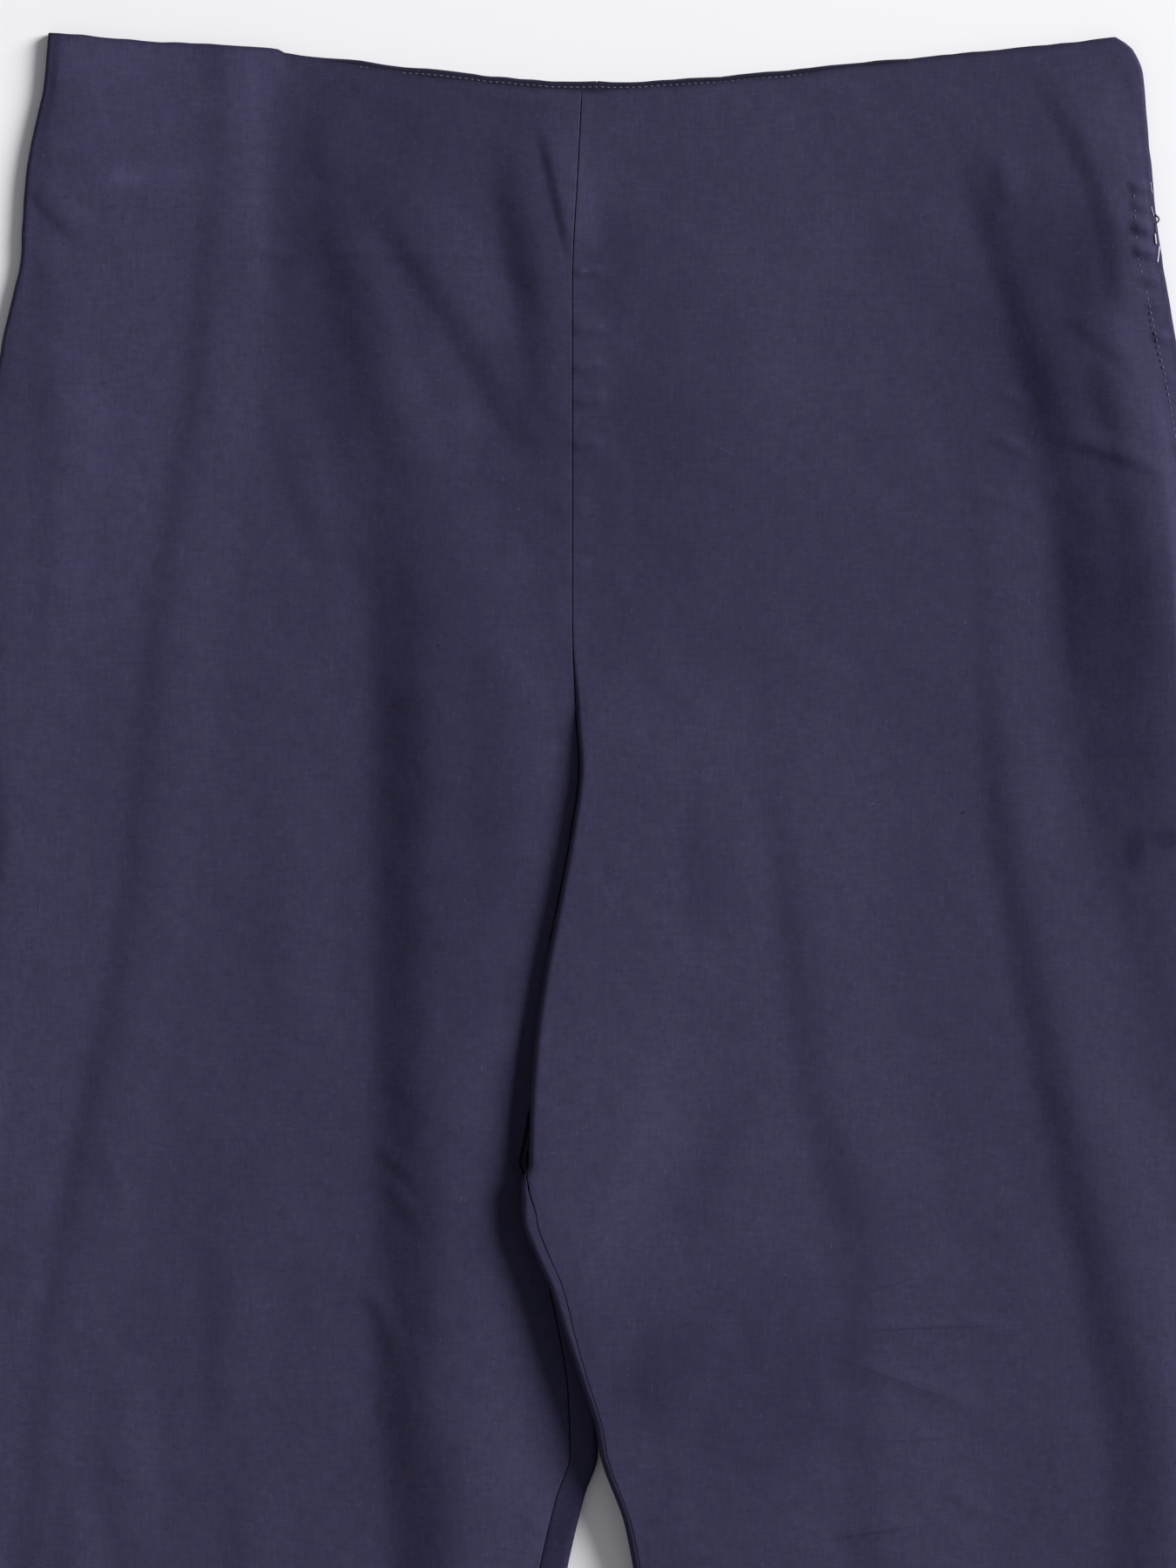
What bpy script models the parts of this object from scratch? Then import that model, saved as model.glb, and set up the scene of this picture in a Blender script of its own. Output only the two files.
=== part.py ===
"""Straight-leg trousers with a faced waist, laid flat with the front up.

Each piece is a sheet of cloth: a grid whose rows run across the leg and whose columns run down it, moved to
the outer side of the garment and thickened inwards. The two backs lie flat on the surface. The fronts lie on
them, meet them in rolled side edges, and carry the long folds. At the crotch the right leg's inner edge
stands up and lies over the left leg.

Left and right are as seen from above with the waist at the top. Sizes are in millimetres, and "down" is the
distance below the centre of the back waist, measured along the garment.
"""

from collections import namedtuple

import bmesh
import bpy
import numpy as np

MM = 0.001

WAIST_Y = 496.2  # the back waist's centre, measured from the middle of the length
HEM_DOWN = 1008.6
WALL = 1.2
SEAM_GAP = 0.3
LAY_HEIGHT = 4.2  # top of the front over the surface where it lies without a fold
SIDE_STUB = 0.35  # straight run of a rolled side edge beside the seam
SIDE_RADIUS = (LAY_HEIGHT - SEAM_GAP) / 2 - SIDE_STUB
WAIST_FADE = 150.0  # rows follow the curved waist edge at the top and are level this far down
EDGE_FADE = 8.5  # folds die out over this distance from a side edge
INNER_FADE = 5.0  # and from an inner one

FACING_DEPTH = 53.0
FACING_WALL = 1.0
FACING_SET_IN = 0.6
FACING_SIDE_GAP = 6.0
FACING_ZIP_GAP = 1.5
ZIP_LENGTH = 180.0
ZIP_START = 7.0
ZIP_WIDTH = 11.0
ZIP_WALL = 1.1
ZIP_SIDE_GAP = 3.4

CLOTH_COLOUR = (0.040, 0.037, 0.076, 1.0)
ZIP_COLOUR = (0.030, 0.028, 0.055, 1.0)
CLOTH_ROUGHNESS = 0.85

# Outer edges of the lying garment.
Side = namedtuple("Side", "down edge")
LEFT_SIDE = (
    Side(-16.2, -176.4),
    Side(1.4, -177.8),
    Side(15.4, -181.2),
    Side(31.0, -183.8),
    Side(54.6, -185.1),
    Side(86.8, -191.8),
    Side(113.4, -195.2),
    Side(155.4, -198.8),
    Side(211.4, -201.6),
    Side(281.4, -203.6),
    Side(365.4, -205.2),
    Side(477.4, -206.4),
    Side(645.4, -208.6),
    Side(813.4, -212.8),
    Side(HEM_DOWN, -215.6),
)
RIGHT_SIDE = (
    Side(-14.8, 167.0),
    Side(-11.2, 172.2),
    Side(-2.8, 175.8),
    Side(15.4, 177.2),
    Side(46.2, 180.3),
    Side(81.2, 186.2),
    Side(107.8, 189.6),
    Side(155.4, 194.0),
    Side(211.4, 197.4),
    Side(281.4, 199.6),
    Side(365.4, 200.8),
    Side(477.4, 201.6),
    Side(645.4, 205.8),
    Side(813.4, 211.0),
    Side(HEM_DOWN, 215.6),
)

# How far the waist edge lies below the back's centre, at places across it.
Waist = namedtuple("Waist", "across front back")
WAIST_EDGE = (
    Waist(-176.4, -16.2, -16.2),
    Waist(-100.8, -9.4, -9.9),
    Waist(-51.8, -1.4, -4.6),
    Waist(-4.8, 2.8, -0.4),
    Waist(32.2, 0.8, -2.0),
    Waist(88.2, -5.6, -7.0),
    Waist(167.0, -14.8, -14.8),
)

# Where the two halves meet, above the crotch.
Centre = namedtuple("Centre", "down front back")
CROTCH = 348.0
CENTRE_LINE = (
    Centre(0.0, -4.8, 0.0),
    Centre(23.8, -5.9, -0.6),
    Centre(65.8, -7.8, -1.6),
    Centre(169.4, -7.8, -5.0),
    Centre(203.0, -6.7, -7.0),
    Centre(219.8, -5.6, -8.2),
    Centre(242.2, -8.4, -10.2),
    Centre(264.6, -12.6, -13.0),
    Centre(287.0, -17.1, -16.2),
    Centre(309.4, -20.2, -19.0),
    Centre(330.0, -21.5, -21.2),
    Centre(CROTCH, -21.9, -21.9),
)
# The legs' inner edges below the crotch.
Edge = namedtuple("Edge", "down edge")
LEFT_INNER_EDGE = (
    Edge(CROTCH, -21.9),
    Edge(356.0, -17.4),
    Edge(365.4, -13.4),
    Edge(393.4, -5.0),
    Edge(421.4, 0.0),
    Edge(441.0, 0.6),
    Edge(454.0, -3.6),
    Edge(477.4, -9.2),
    Edge(505.0, -14.0),
    Edge(561.4, -20.4),
    Edge(673.4, -26.6),
    Edge(841.4, -33.6),
    Edge(HEM_DOWN, -40.6),
)
RIGHT_INNER_EDGE = (
    Edge(CROTCH, -21.9),
    Edge(353.0, -24.4),
    Edge(364.6, -24.1),
    Edge(375.5, -20.3),
    Edge(386.3, -15.4),
    Edge(402.0, -10.4),
    Edge(416.6, -5.5),
    Edge(431.5, -0.6),
    Edge(440.2, 0.8),
    Edge(462.8, 8.7),
    Edge(477.4, 11.6),
    Edge(505.4, 16.8),
    Edge(561.4, 22.4),
    Edge(673.4, 28.0),
    Edge(841.4, 35.0),
    Edge(HEM_DOWN, 40.6),
)
# How the cloth goes round the inner edge. under and top are the heights of the back and the front there and
# radius that of the rolls. back_turn is how far the back is rolled up, in degrees, and wrap how far it goes
# on over the top. front_turn is how far the front is rolled down, and set_in its end's place past the roll.
Roll = namedtuple("Roll", "down under top radius back_turn wrap front_turn set_in")
LEFT_ROLL = (
    Roll(0.0, 0.0, 4.2, 2.1, 0, 0.0, 0, 0.15),
    Roll(272.0, 0.0, 4.2, 2.1, 0, 0.0, 0, 0.15),
    Roll(300.0, 0.0, 4.2, 2.1, 0, 0.0, 0, -3.0),
    Roll(322.0, 0.0, 4.2, 2.1, 0, 0.0, 0, -2.4),
    Roll(332.0, 0.0, 4.2, 2.1, 40, 0.0, 0, 0.3),
    Roll(340.0, 0.0, 4.2, 2.1, 95, 0.0, 0, 0.6),
    Roll(CROTCH, 0.0, 4.2, 2.1, 180, 0.0, 0, 0.9),
    Roll(356.0, 0.0, 4.2, 2.1, 180, 1.5, 0, 0.4),
    Roll(365.4, 0.0, 4.2, 2.1, 180, 4.5, 0, 0.4),
    Roll(393.4, 0.0, 4.2, 2.1, 180, 6.4, 0, 0.4),
    Roll(421.4, 0.0, 4.2, 2.1, 180, 6.8, 0, 0.4),
    Roll(HEM_DOWN, 0.0, 4.2, 2.1, 180, 6.8, 0, 0.4),
)
RIGHT_ROLL = (
    Roll(0.0, 0.0, 4.2, 1.9, 0, 0.0, 0, 0.15),
    Roll(172.0, 0.0, 4.2, 1.9, 0, 0.0, 0, 0.15),
    Roll(186.0, 0.0, 4.4, 1.9, 0, 0.0, 26, 0.15),
    Roll(198.0, 0.0, 5.4, 1.9, 0, 0.0, 68, 0.15),
    Roll(212.0, 0.0, 7.4, 1.9, 0, 0.0, 130, 0.15),
    Roll(228.0, 0.0, 8.7, 1.9, 0, 0.0, 170, 0.15),
    Roll(272.0, 0.0, 9.6, 2.3, 0, 0.0, 180, 0.15),
    Roll(300.0, 0.0, 10.4, 2.4, 0, 0.0, 180, 0.15),
    Roll(314.0, 0.0, 11.4, 2.4, 0, 0.0, 180, 0.15),
    Roll(324.0, 0.3, 12.3, 2.3, 0, 0.0, 180, 0.15),
    Roll(332.0, 1.8, 13.0, 2.2, 0, 0.0, 172, 0.15),
    Roll(340.0, 6.0, 13.7, 2.1, 24, 0.0, 132, 0.15),
    Roll(CROTCH, 10.2, 14.4, 2.1, 82, 0.0, 80, 0.3),
    Roll(354.0, 10.5, 14.7, 2.1, 180, 0.0, 0, 0.65),
    Roll(364.6, 10.6, 14.8, 2.1, 180, 2.5, 0, 0.4),
    Roll(386.3, 10.6, 14.8, 2.1, 180, 2.0, 0, 0.4),
    Roll(400.0, 10.5, 14.7, 2.1, 180, 1.2, 0, 0.4),
    Roll(416.6, 10.4, 14.6, 2.1, 180, 0.3, 0, 0.4),
    Roll(431.0, 9.9, 14.1, 2.1, 180, 0.0, 0, 0.4),
    Roll(440.2, 9.2, 13.4, 2.1, 180, 0.0, 0, 0.4),
    Roll(462.8, 6.6, 10.8, 2.1, 180, 0.0, 0, 0.4),
    Roll(505.4, 1.9, 6.1, 2.1, 180, 0.0, 0, 0.4),
    Roll(561.4, 0.0, 4.2, 2.1, 180, 0.7, 0, 0.4),
    Roll(HEM_DOWN, 0.0, 4.2, 2.1, 180, 0.9, 0, 0.4),
)
LIFT_HOLD = 12.0 # the right leg's underside stays lifted this far in, over the left leg's inner fold,
LIFT_REACH = 36.0  # and comes down to the surface over this distance
CREST_REACH = 110.0  # the raised inner edge comes down to the lay height over this one

# Long folds of the fronts. crest is the fold's line, rise its width on the left and fall on the right.
Fold = namedtuple("Fold", "down crest height rise fall")
OUTER_RIDGE = (
    Fold(-10.0, -117.0, 0.6, 10.0, 18.0),
    Fold(43.4, -118.4, 0.7, 10.0, 18.0),
    Fold(85.4, -123.0, 0.9, 10.0, 19.0),
    Fold(119.0, -128.2, 1.0, 10.0, 20.0),
    Fold(169.4, -135.8, 1.0, 10.0, 20.0),
    Fold(225.4, -141.4, 0.8, 10.0, 20.0),
    Fold(273.0, -147.0, 0.9, 10.0, 20.0),
    Fold(317.8, -155.4, 1.1, 10.0, 20.0),
    Fold(359.8, -163.8, 1.0, 11.0, 22.0),
    Fold(432.6, -173.6, 0.8, 12.0, 22.0),
    Fold(560.0, -182.0, 0.6, 12.0, 22.0),
    Fold(HEM_DOWN, -190.0, 0.0, 12.0, 22.0),
)
MAIN_RIDGE = (
    Fold(-10.0, -60.0, 1.2, 36.0, 34.0),
    Fold(43.4, -62.0, 1.8, 38.0, 36.0),
    Fold(85.4, -62.0, 2.6, 38.0, 34.0),
    Fold(141.4, -50.0, 3.8, 36.0, 34.0),
    Fold(169.4, -50.6, 4.4, 27.0, 36.0),
    Fold(211.4, -52.0, 4.4, 23.0, 40.0),
    Fold(267.4, -52.0, 4.4, 22.0, 38.0),
    Fold(345.8, -51.0, 4.4, 23.0, 34.0),
    Fold(379.4, -47.6, 4.6, 26.0, 33.0),
    Fold(415.8, -51.0, 4.6, 23.0, 45.0),
    Fold(471.8, -46.0, 4.6, 23.0, 52.0),
    Fold(600.0, -62.0, 4.0, 25.0, 46.0),
    Fold(760.0, -84.0, 3.0, 28.0, 44.0),
    Fold(HEM_DOWN, -100.0, 1.8, 30.0, 40.0),
)
HIP_RIDGE = (
    Fold(-10.0, 150.0, 0.1, 22.0, 18.0),
    Fold(25.2, 160.0, 0.3, 30.0, 18.0),
    Fold(60.2, 166.0, 0.8, 34.0, 18.0),
    Fold(96.6, 172.0, 1.8, 36.0, 18.0),
    Fold(133.0, 180.0, 3.4, 38.0, 16.0),
    Fold(169.4, 186.0, 5.2, 45.0, 16.0),
    Fold(211.4, 190.0, 5.6, 45.0, 14.0),
    Fold(267.4, 191.0, 3.4, 42.0, 14.0),
    Fold(340.0, 192.0, 0.6, 30.0, 12.0),
    Fold(HEM_DOWN, 200.0, 0.0, 20.0, 13.0),
)
THIGH_RIDGE = (
    Fold(-10.0, 92.0, 0.0, 10.0, 20.0),
    Fold(140.0, 127.0, 0.4, 10.0, 20.0),
    Fold(231.0, 135.0, 1.6, 12.0, 26.0),
    Fold(303.8, 150.0, 2.2, 15.0, 30.0),
    Fold(365.4, 165.2, 2.7, 18.0, 28.0),
    Fold(443.8, 182.0, 2.5, 21.0, 18.0),
    Fold(560.0, 185.0, 2.3, 24.0, 18.0),
    Fold(760.0, 172.0, 2.0, 28.0, 26.0),
    Fold(HEM_DOWN, 160.0, 1.3, 30.0, 34.0),
)
KNEE_RIDGE = (
    Fold(-10.0, 40.0, 0.0, 14.0, 30.0),
    Fold(200.0, 62.0, 0.3, 14.0, 30.0),
    Fold(259.4, 68.0, 1.3, 14.0, 30.0),
    Fold(323.4, 77.6, 1.5, 15.0, 30.0),
    Fold(371.0, 89.6, 1.3, 16.0, 30.0),
    Fold(480.0, 96.0, 1.6, 20.0, 34.0),
    Fold(760.0, 104.0, 1.8, 26.0, 34.0),
    Fold(HEM_DOWN, 108.0, 1.0, 26.0, 34.0),
)
LEFT_FOLDS = (OUTER_RIDGE, MAIN_RIDGE)
RIGHT_FOLDS = (KNEE_RIDGE, THIGH_RIDGE, HIP_RIDGE)

# Rows of the grids: close together at the rounded waist corner and at the crotch.
RowRun = namedtuple("RowRun", "start end count")
ROW_RUNS = (
    RowRun(0.0, 16.0, 4),
    RowRun(16.0, 320.0, 14),
    RowRun(320.0, 368.0, 12),
    RowRun(368.0, 480.0, 7),
    RowRun(480.0, HEM_DOWN, 13),
)
ROLL_STEPS = 4  # columns round half a turn of an inner fold
SIDE_STEPS = 2  # and round the quarter turn of a side edge
WRAP_STEPS = 2
LEAST_WRAP = 1.0
LEFT_STEPS = (6, 6, 5)  # columns between the side, the folds' lines and the inner edge
RIGHT_STEPS = (2, 3, 5, 6)
FLAT_STEPS = 8
LEAST_STEP = 1.5  # between the folds' lines and the sides
FACING_ROWS = 5
FACING_COLUMNS = 17
ZIP_ROWS = 12


def through(rows, column, at):
    """A smooth curve through a table's rows that never overshoots them."""
    places = np.array([row[0] for row in rows], float)
    values = np.array([getattr(row, column) for row in rows], float)
    at = np.clip(np.asarray(at, float), places[0], places[-1])
    spans = np.diff(places)
    steps = np.diff(values) / spans
    same_way = steps[:-1] * steps[1:] > 0
    both = np.where(same_way, steps[:-1] + steps[1:], 1.0)
    inner = np.where(same_way, 2 * steps[:-1] * steps[1:] / both, 0.0)
    slopes = np.concatenate([steps[:1], inner, steps[-1:]])
    spot = np.clip(np.searchsorted(places, at, side="right") - 1, 0, len(spans) - 1)
    part = (at - places[spot]) / spans[spot]
    start, end = values[spot], values[spot + 1]
    lean_in, lean_out = slopes[spot] * spans[spot], slopes[spot + 1] * spans[spot]
    rest = 1 - part
    return (
        start * (1 + 2 * part) * rest**2
        + lean_in * part * rest**2
        + end * part**2 * (3 - 2 * part)
        - lean_out * part**2 * rest
    )


def ease(part):
    part = np.clip(part, 0.0, 1.0)
    return part * part * (3 - 2 * part)


def fold_height(fold, across, down):
    crest = through(fold, "crest", down)
    width = np.where(
        across < crest, through(fold, "rise", down), through(fold, "fall", down)
    )
    spread = np.clip(np.abs(across - crest) / width, 0.0, 1.0)
    return through(fold, "height", down) * (1 - spread**2) ** 2


def waist_shift(which, across, down):
    """How far a point is moved down so that the rows follow the waist edge."""
    fade = np.clip(1 - down / WAIST_FADE, 0.0, 1.0) ** 2
    return through(WAIST_EDGE, which, across) * fade


def side_edge(side, down):
    """The outer edge beside the row that starts at down."""
    corner = side[0]
    shift = waist_shift("back", corner.edge, down)
    return through(side, "edge", down + shift)


def curled_end(distance, wrap, turn, radius):
    """A point of a sheet whose end rolls over, by its distance from the free end.

    Returns how far it lies past the roll's foot, and how far it stands off the sheet's plane. The roll ends
    in a straight run, wrap long.
    """
    arc = radius * turn
    if distance < wrap:
        left = wrap - distance
        return (
            radius * np.sin(turn) + left * np.cos(turn),
            radius * (1 - np.cos(turn)) + left * np.sin(turn),
        )
    if distance < wrap + arc:
        angle = (wrap + arc - distance) / radius
        return radius * np.sin(angle), radius * (1 - np.cos(angle))
    return wrap + arc - distance, 0.0


class Leg:
    """One half of the garment: outward is -1 on the left and +1 on the right."""

    def __init__(self, outward, side, inner_edge, roll, folds, steps):
        self.outward = outward
        self.side = side
        self.inner_edge = inner_edge
        self.roll = roll
        self.folds = folds
        self.steps = steps

    def at(self, column, down):
        return through(self.roll, column, down)

    def edge(self, layer, down):
        """The inner edge of the front or the back."""
        if down < CROTCH:
            return through(CENTRE_LINE, layer, down)
        return through(self.inner_edge, "edge", down)

    def reach(self, layer, across, down):
        """Distance from the inner roll's foot, towards the side."""
        inwards = (across - self.edge(layer, down)) * self.outward
        return inwards - self.at("radius", down)

    def underside(self, across, down):
        reach = self.reach("back", across, down) - LIFT_HOLD
        return self.at("under", down) * (1 - ease(reach / LIFT_REACH))

    def top(self, across, down):
        """Height of the front, with its folds."""
        reach = self.reach("front", across, down)
        crest = (self.at("top", down) - LAY_HEIGHT) * (1 - ease(reach / CREST_REACH))
        from_side = self.outward * (side_edge(self.side, down) - across) - SIDE_RADIUS
        inside = ease(np.minimum(from_side / EDGE_FADE, np.maximum(reach, 0) / INNER_FADE))
        folds = sum(fold_height(fold, across, down) for fold in self.folds)
        return LAY_HEIGHT + crest + folds * inside


LEFT_LEG = Leg(-1, LEFT_SIDE, LEFT_INNER_EDGE, LEFT_ROLL, LEFT_FOLDS, LEFT_STEPS)
RIGHT_LEG = Leg(1, RIGHT_SIDE, RIGHT_INNER_EDGE, RIGHT_ROLL, RIGHT_FOLDS, RIGHT_STEPS)


def row_places():
    places = [ROW_RUNS[0].start]
    for run in ROW_RUNS:
        places.extend(np.linspace(run.start, run.end, run.count + 1)[1:])
    return places


def spread_between(lines, counts):
    """Places between neighbouring lines, in order and never closer than the least step."""
    lines = list(lines)
    for i in range(1, len(lines)):
        lines[i] = max(lines[i], lines[i - 1] + LEAST_STEP)
    for i in range(len(lines) - 2, -1, -1):
        lines[i] = min(lines[i], lines[i + 1] - LEAST_STEP)
    places = []
    for start, end, count in zip(lines, lines[1:], counts):
        places.extend(np.linspace(start, end, count, endpoint=False))
    return places[1:]


def rolled(leg, foot, heading, spots, wrap, turn, radius, level, lift):
    """Points round an end that starts to roll at foot and heads that way, from the free end.

    level gives the sheet's height at a place across, and lift is +1 to roll up or -1 to roll down.
    """
    points = []
    for distance in spots:
        past, off = curled_end(distance, wrap, turn, radius)
        across = foot + heading * past
        flat = foot if past > 0 else across
        points.append((across, level(flat) + lift * off))
    return points


def side_end(leg, down, level, lift):
    """The outer end of a front or a back: a quarter turn and a short straight run to the side seam."""
    foot = side_edge(leg.side, down) - leg.outward * SIDE_RADIUS
    arc = SIDE_RADIUS * np.pi / 2
    spots = [0.0] + [SIDE_STUB + arc * i / SIDE_STEPS for i in range(SIDE_STEPS + 1)]
    return rolled(leg, foot, leg.outward, spots, SIDE_STUB, np.pi / 2, SIDE_RADIUS, level, lift)


def front_row(leg, down):
    """Points across a front, from the side seam to its inner end."""

    def level(across):
        return leg.top(across, down)

    points = side_end(leg, down, level, -1)
    turn = np.radians(leg.at("front_turn", down))
    radius, wrap = leg.at("radius", down), leg.at("wrap", down)
    lean = np.sin(min(turn, np.pi / 2))
    over_fold = ease(leg.at("back_turn", down) / 180) * radius * (1 - lean) + wrap
    foot = leg.edge("front", down) + leg.outward * (
        radius * lean + over_fold + leg.at("set_in", down)
    )
    spots = [radius * np.pi * i / ROLL_STEPS for i in range(ROLL_STEPS + 1)]
    ending = rolled(leg, foot, -leg.outward, spots, 0.0, turn, radius, level, -1)

    crests = [through(fold, "crest", down) for fold in leg.folds]
    lines = [points[-1][0], *crests, ending[-1][0]]
    places = spread_between(sorted(-leg.outward * line for line in lines), leg.steps)
    points += [(-leg.outward * place, level(-leg.outward * place)) for place in places]
    return points + ending[::-1]


def back_row(leg, down):
    """Points across a back, from the side seam under the leg to its inner end."""

    def level(across):
        return leg.underside(across, down)

    points = side_end(leg, down, level, 1)
    turn = np.radians(leg.at("back_turn", down))
    radius, wrap = leg.at("radius", down), leg.at("wrap", down)
    foot = leg.edge("back", down) + leg.outward * (
        radius * np.sin(min(turn, np.pi / 2)) + SEAM_GAP / 2
    )
    shown = max(wrap, LEAST_WRAP)
    spots = [shown * i / WRAP_STEPS for i in range(WRAP_STEPS)]
    spots += [shown + radius * np.pi * i / ROLL_STEPS for i in range(ROLL_STEPS + 1)]
    ending = rolled(leg, foot, -leg.outward, spots, wrap, turn, radius, level, 1)

    lines = [-leg.outward * points[-1][0], -leg.outward * ending[-1][0]]
    places = spread_between(lines, (FLAT_STEPS,))
    points += [(-leg.outward * place, level(-leg.outward * place)) for place in places]
    return points + ending[::-1]


def facing_row(down):
    """Points across the back facing, which lies on the backs' inner side."""
    left = side_edge(LEFT_SIDE, down) + FACING_SIDE_GAP
    right = side_edge(RIGHT_SIDE, down) - ZIP_SIDE_GAP - ZIP_WIDTH - FACING_ZIP_GAP
    height = WALL + SEAM_GAP + FACING_WALL
    return [(across, height) for across in np.linspace(left, right, FACING_COLUMNS)]


def zip_row(down):
    """Points across the zip's tape, inside the right side edge."""
    right = side_edge(RIGHT_SIDE, down) - ZIP_SIDE_GAP
    height = WALL + SEAM_GAP + ZIP_WALL
    return [(right - ZIP_WIDTH, height), (right - ZIP_WIDTH / 2, height), (right, height)]


def cloth_material(name, colour):
    material = bpy.data.materials.new(name)
    material.use_nodes = True
    surface = material.node_tree.nodes["Principled BSDF"]
    surface.inputs["Base Color"].default_value = colour
    surface.inputs["Roughness"].default_value = CLOTH_ROUGHNESS
    surface.inputs["Metallic"].default_value = 0.0
    return material


def sheet(name, collection, places, row, which, wall, colour, facing_down):
    """A grid of cloth with a row of points for each place, thickened away from its outer side."""
    rows = [row(place) for place in places]
    columns = len(rows[0])
    grid = bmesh.new()
    bmesh.ops.create_grid(
        grid, x_segments=columns - 1, y_segments=len(rows) - 1, size=0.5
    )
    for vertex in grid.verts:
        column = round((vertex.co.x + 0.5) * (columns - 1))
        number = round((0.5 - vertex.co.y) * (len(rows) - 1))
        across, height = rows[number][column]
        down = places[number] + waist_shift(which, across, places[number])
        vertex.co = (across * MM, (WAIST_Y - down) * MM, height * MM)
    if facing_down:
        bmesh.ops.reverse_faces(grid, faces=grid.faces)
    mesh = bpy.data.meshes.new(name)
    grid.to_mesh(mesh)
    grid.free()
    mesh.shade_smooth()
    mesh.materials.append(cloth_material(name, colour))
    piece = bpy.data.objects.new(name, mesh)
    collection.objects.link(piece)
    thicken = piece.modifiers.new("wall", "SOLIDIFY")
    thicken.thickness = wall * MM
    thicken.offset = -1.0
    return piece


def add_leg(collection, name, leg):
    """A front and a back. A row runs inwards from the side, so the right leg's grids are turned over."""
    places = row_places()
    on_right = leg.outward > 0
    sheet(f"front_{name}_panel", collection, places, lambda down: front_row(leg, down),
          "front", WALL, CLOTH_COLOUR, on_right)
    sheet(f"back_{name}_panel", collection, places, lambda down: back_row(leg, down),
          "back", WALL, CLOTH_COLOUR, not on_right)


def add_facing(collection):
    places = list(np.linspace(FACING_SET_IN, FACING_DEPTH, FACING_ROWS))
    sheet("back_facing", collection, places, facing_row, "back", FACING_WALL, CLOTH_COLOUR, False)


def add_zip(collection):
    places = list(np.linspace(ZIP_START, ZIP_START + ZIP_LENGTH, ZIP_ROWS))
    sheet("side_zip", collection, places, zip_row, "back", ZIP_WALL, ZIP_COLOUR, False)


def main():
    for item in list(bpy.data.objects):
        bpy.data.objects.remove(item, do_unlink=True)
    collection = bpy.data.collections.new("straight_leg_trousers")
    bpy.context.scene.collection.children.link(collection)
    add_leg(collection, "left", LEFT_LEG)
    add_leg(collection, "right", RIGHT_LEG)
    add_facing(collection)
    add_zip(collection)


main()
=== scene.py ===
"""The looks of straight-leg trousers with a faced waist, laid flat with the front up.

Every cloth piece repeats its solid's surface from the same sizes, on a finer grid and with the short creases,
and is thickened inwards. The stitching, the zip's coil and the loose thread ends are pieces of their own.

Left and right are as seen from above with the waist at the top. Sizes are in millimetres, and "down" is the
distance below the centre of the back waist, measured along the garment.
"""
from collections import namedtuple
from math import pi

import bpy
import numpy as np
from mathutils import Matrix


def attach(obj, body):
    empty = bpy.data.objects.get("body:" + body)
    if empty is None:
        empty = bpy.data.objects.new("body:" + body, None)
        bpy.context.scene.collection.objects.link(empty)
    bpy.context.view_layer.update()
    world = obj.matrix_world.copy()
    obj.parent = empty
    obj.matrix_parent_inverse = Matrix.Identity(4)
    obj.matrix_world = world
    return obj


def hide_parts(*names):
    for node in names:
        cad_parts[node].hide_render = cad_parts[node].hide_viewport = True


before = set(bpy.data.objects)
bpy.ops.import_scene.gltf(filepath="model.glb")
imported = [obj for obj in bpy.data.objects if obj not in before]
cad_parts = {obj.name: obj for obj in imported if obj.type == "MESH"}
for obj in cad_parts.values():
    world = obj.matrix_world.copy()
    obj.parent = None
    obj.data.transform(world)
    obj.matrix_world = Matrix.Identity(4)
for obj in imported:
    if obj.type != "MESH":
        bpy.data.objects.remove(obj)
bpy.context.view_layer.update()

MM = 0.001
DETAIL = 1.0  # share of the grids' rows and columns

# Sizes of the solids.
WAIST_Y = 496.2  # the back waist's centre, measured from the middle of the length
HEM_DOWN = 1008.6
CROTCH = 348.0
WALL = 1.2
SEAM_GAP = 0.3
LAY_HEIGHT = 4.2  # top of the front over the surface where it lies without a fold
SIDE_STUB = 0.35  # the straight part of a side edge, between its quarter turn and the seam
SIDE_RADIUS = (LAY_HEIGHT - SEAM_GAP) / 2 - SIDE_STUB
WAIST_FADE = 150.0  # the rows are straight again this far below the waist edge
EDGE_FADE = 8.5  # folds die out over this distance from a side edge
INNER_FADE = 5.0  # and from an inner one
LIFT_HOLD = 12.0  # a back stays lifted for this distance from its raised inner edge
LIFT_REACH = 36.0  # and comes down over this one
CREST_REACH = 110.0  # a front comes down over this distance from its raised inner edge
LEAST_WRAP = 1.0
FACING_DEPTH = 53.0
FACING_SET_IN = 0.6
FACING_SIDE_GAP = 6.0
FACING_ZIP_GAP = 1.5
FACING_WALL = 1.0
FACING_TOP = WALL + SEAM_GAP + FACING_WALL
ZIP_LENGTH = 180.0
ZIP_START = 7.0
ZIP_WIDTH = 11.0
ZIP_SIDE_GAP = 3.4
ZIP_WALL = 0.6
TAPE_TOP = WALL + SEAM_GAP + ZIP_WALL


def table(kind, *rows):
    """Rows of numbers, each with the kind's names for its columns."""
    return tuple(kind(*row) for row in rows)


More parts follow.
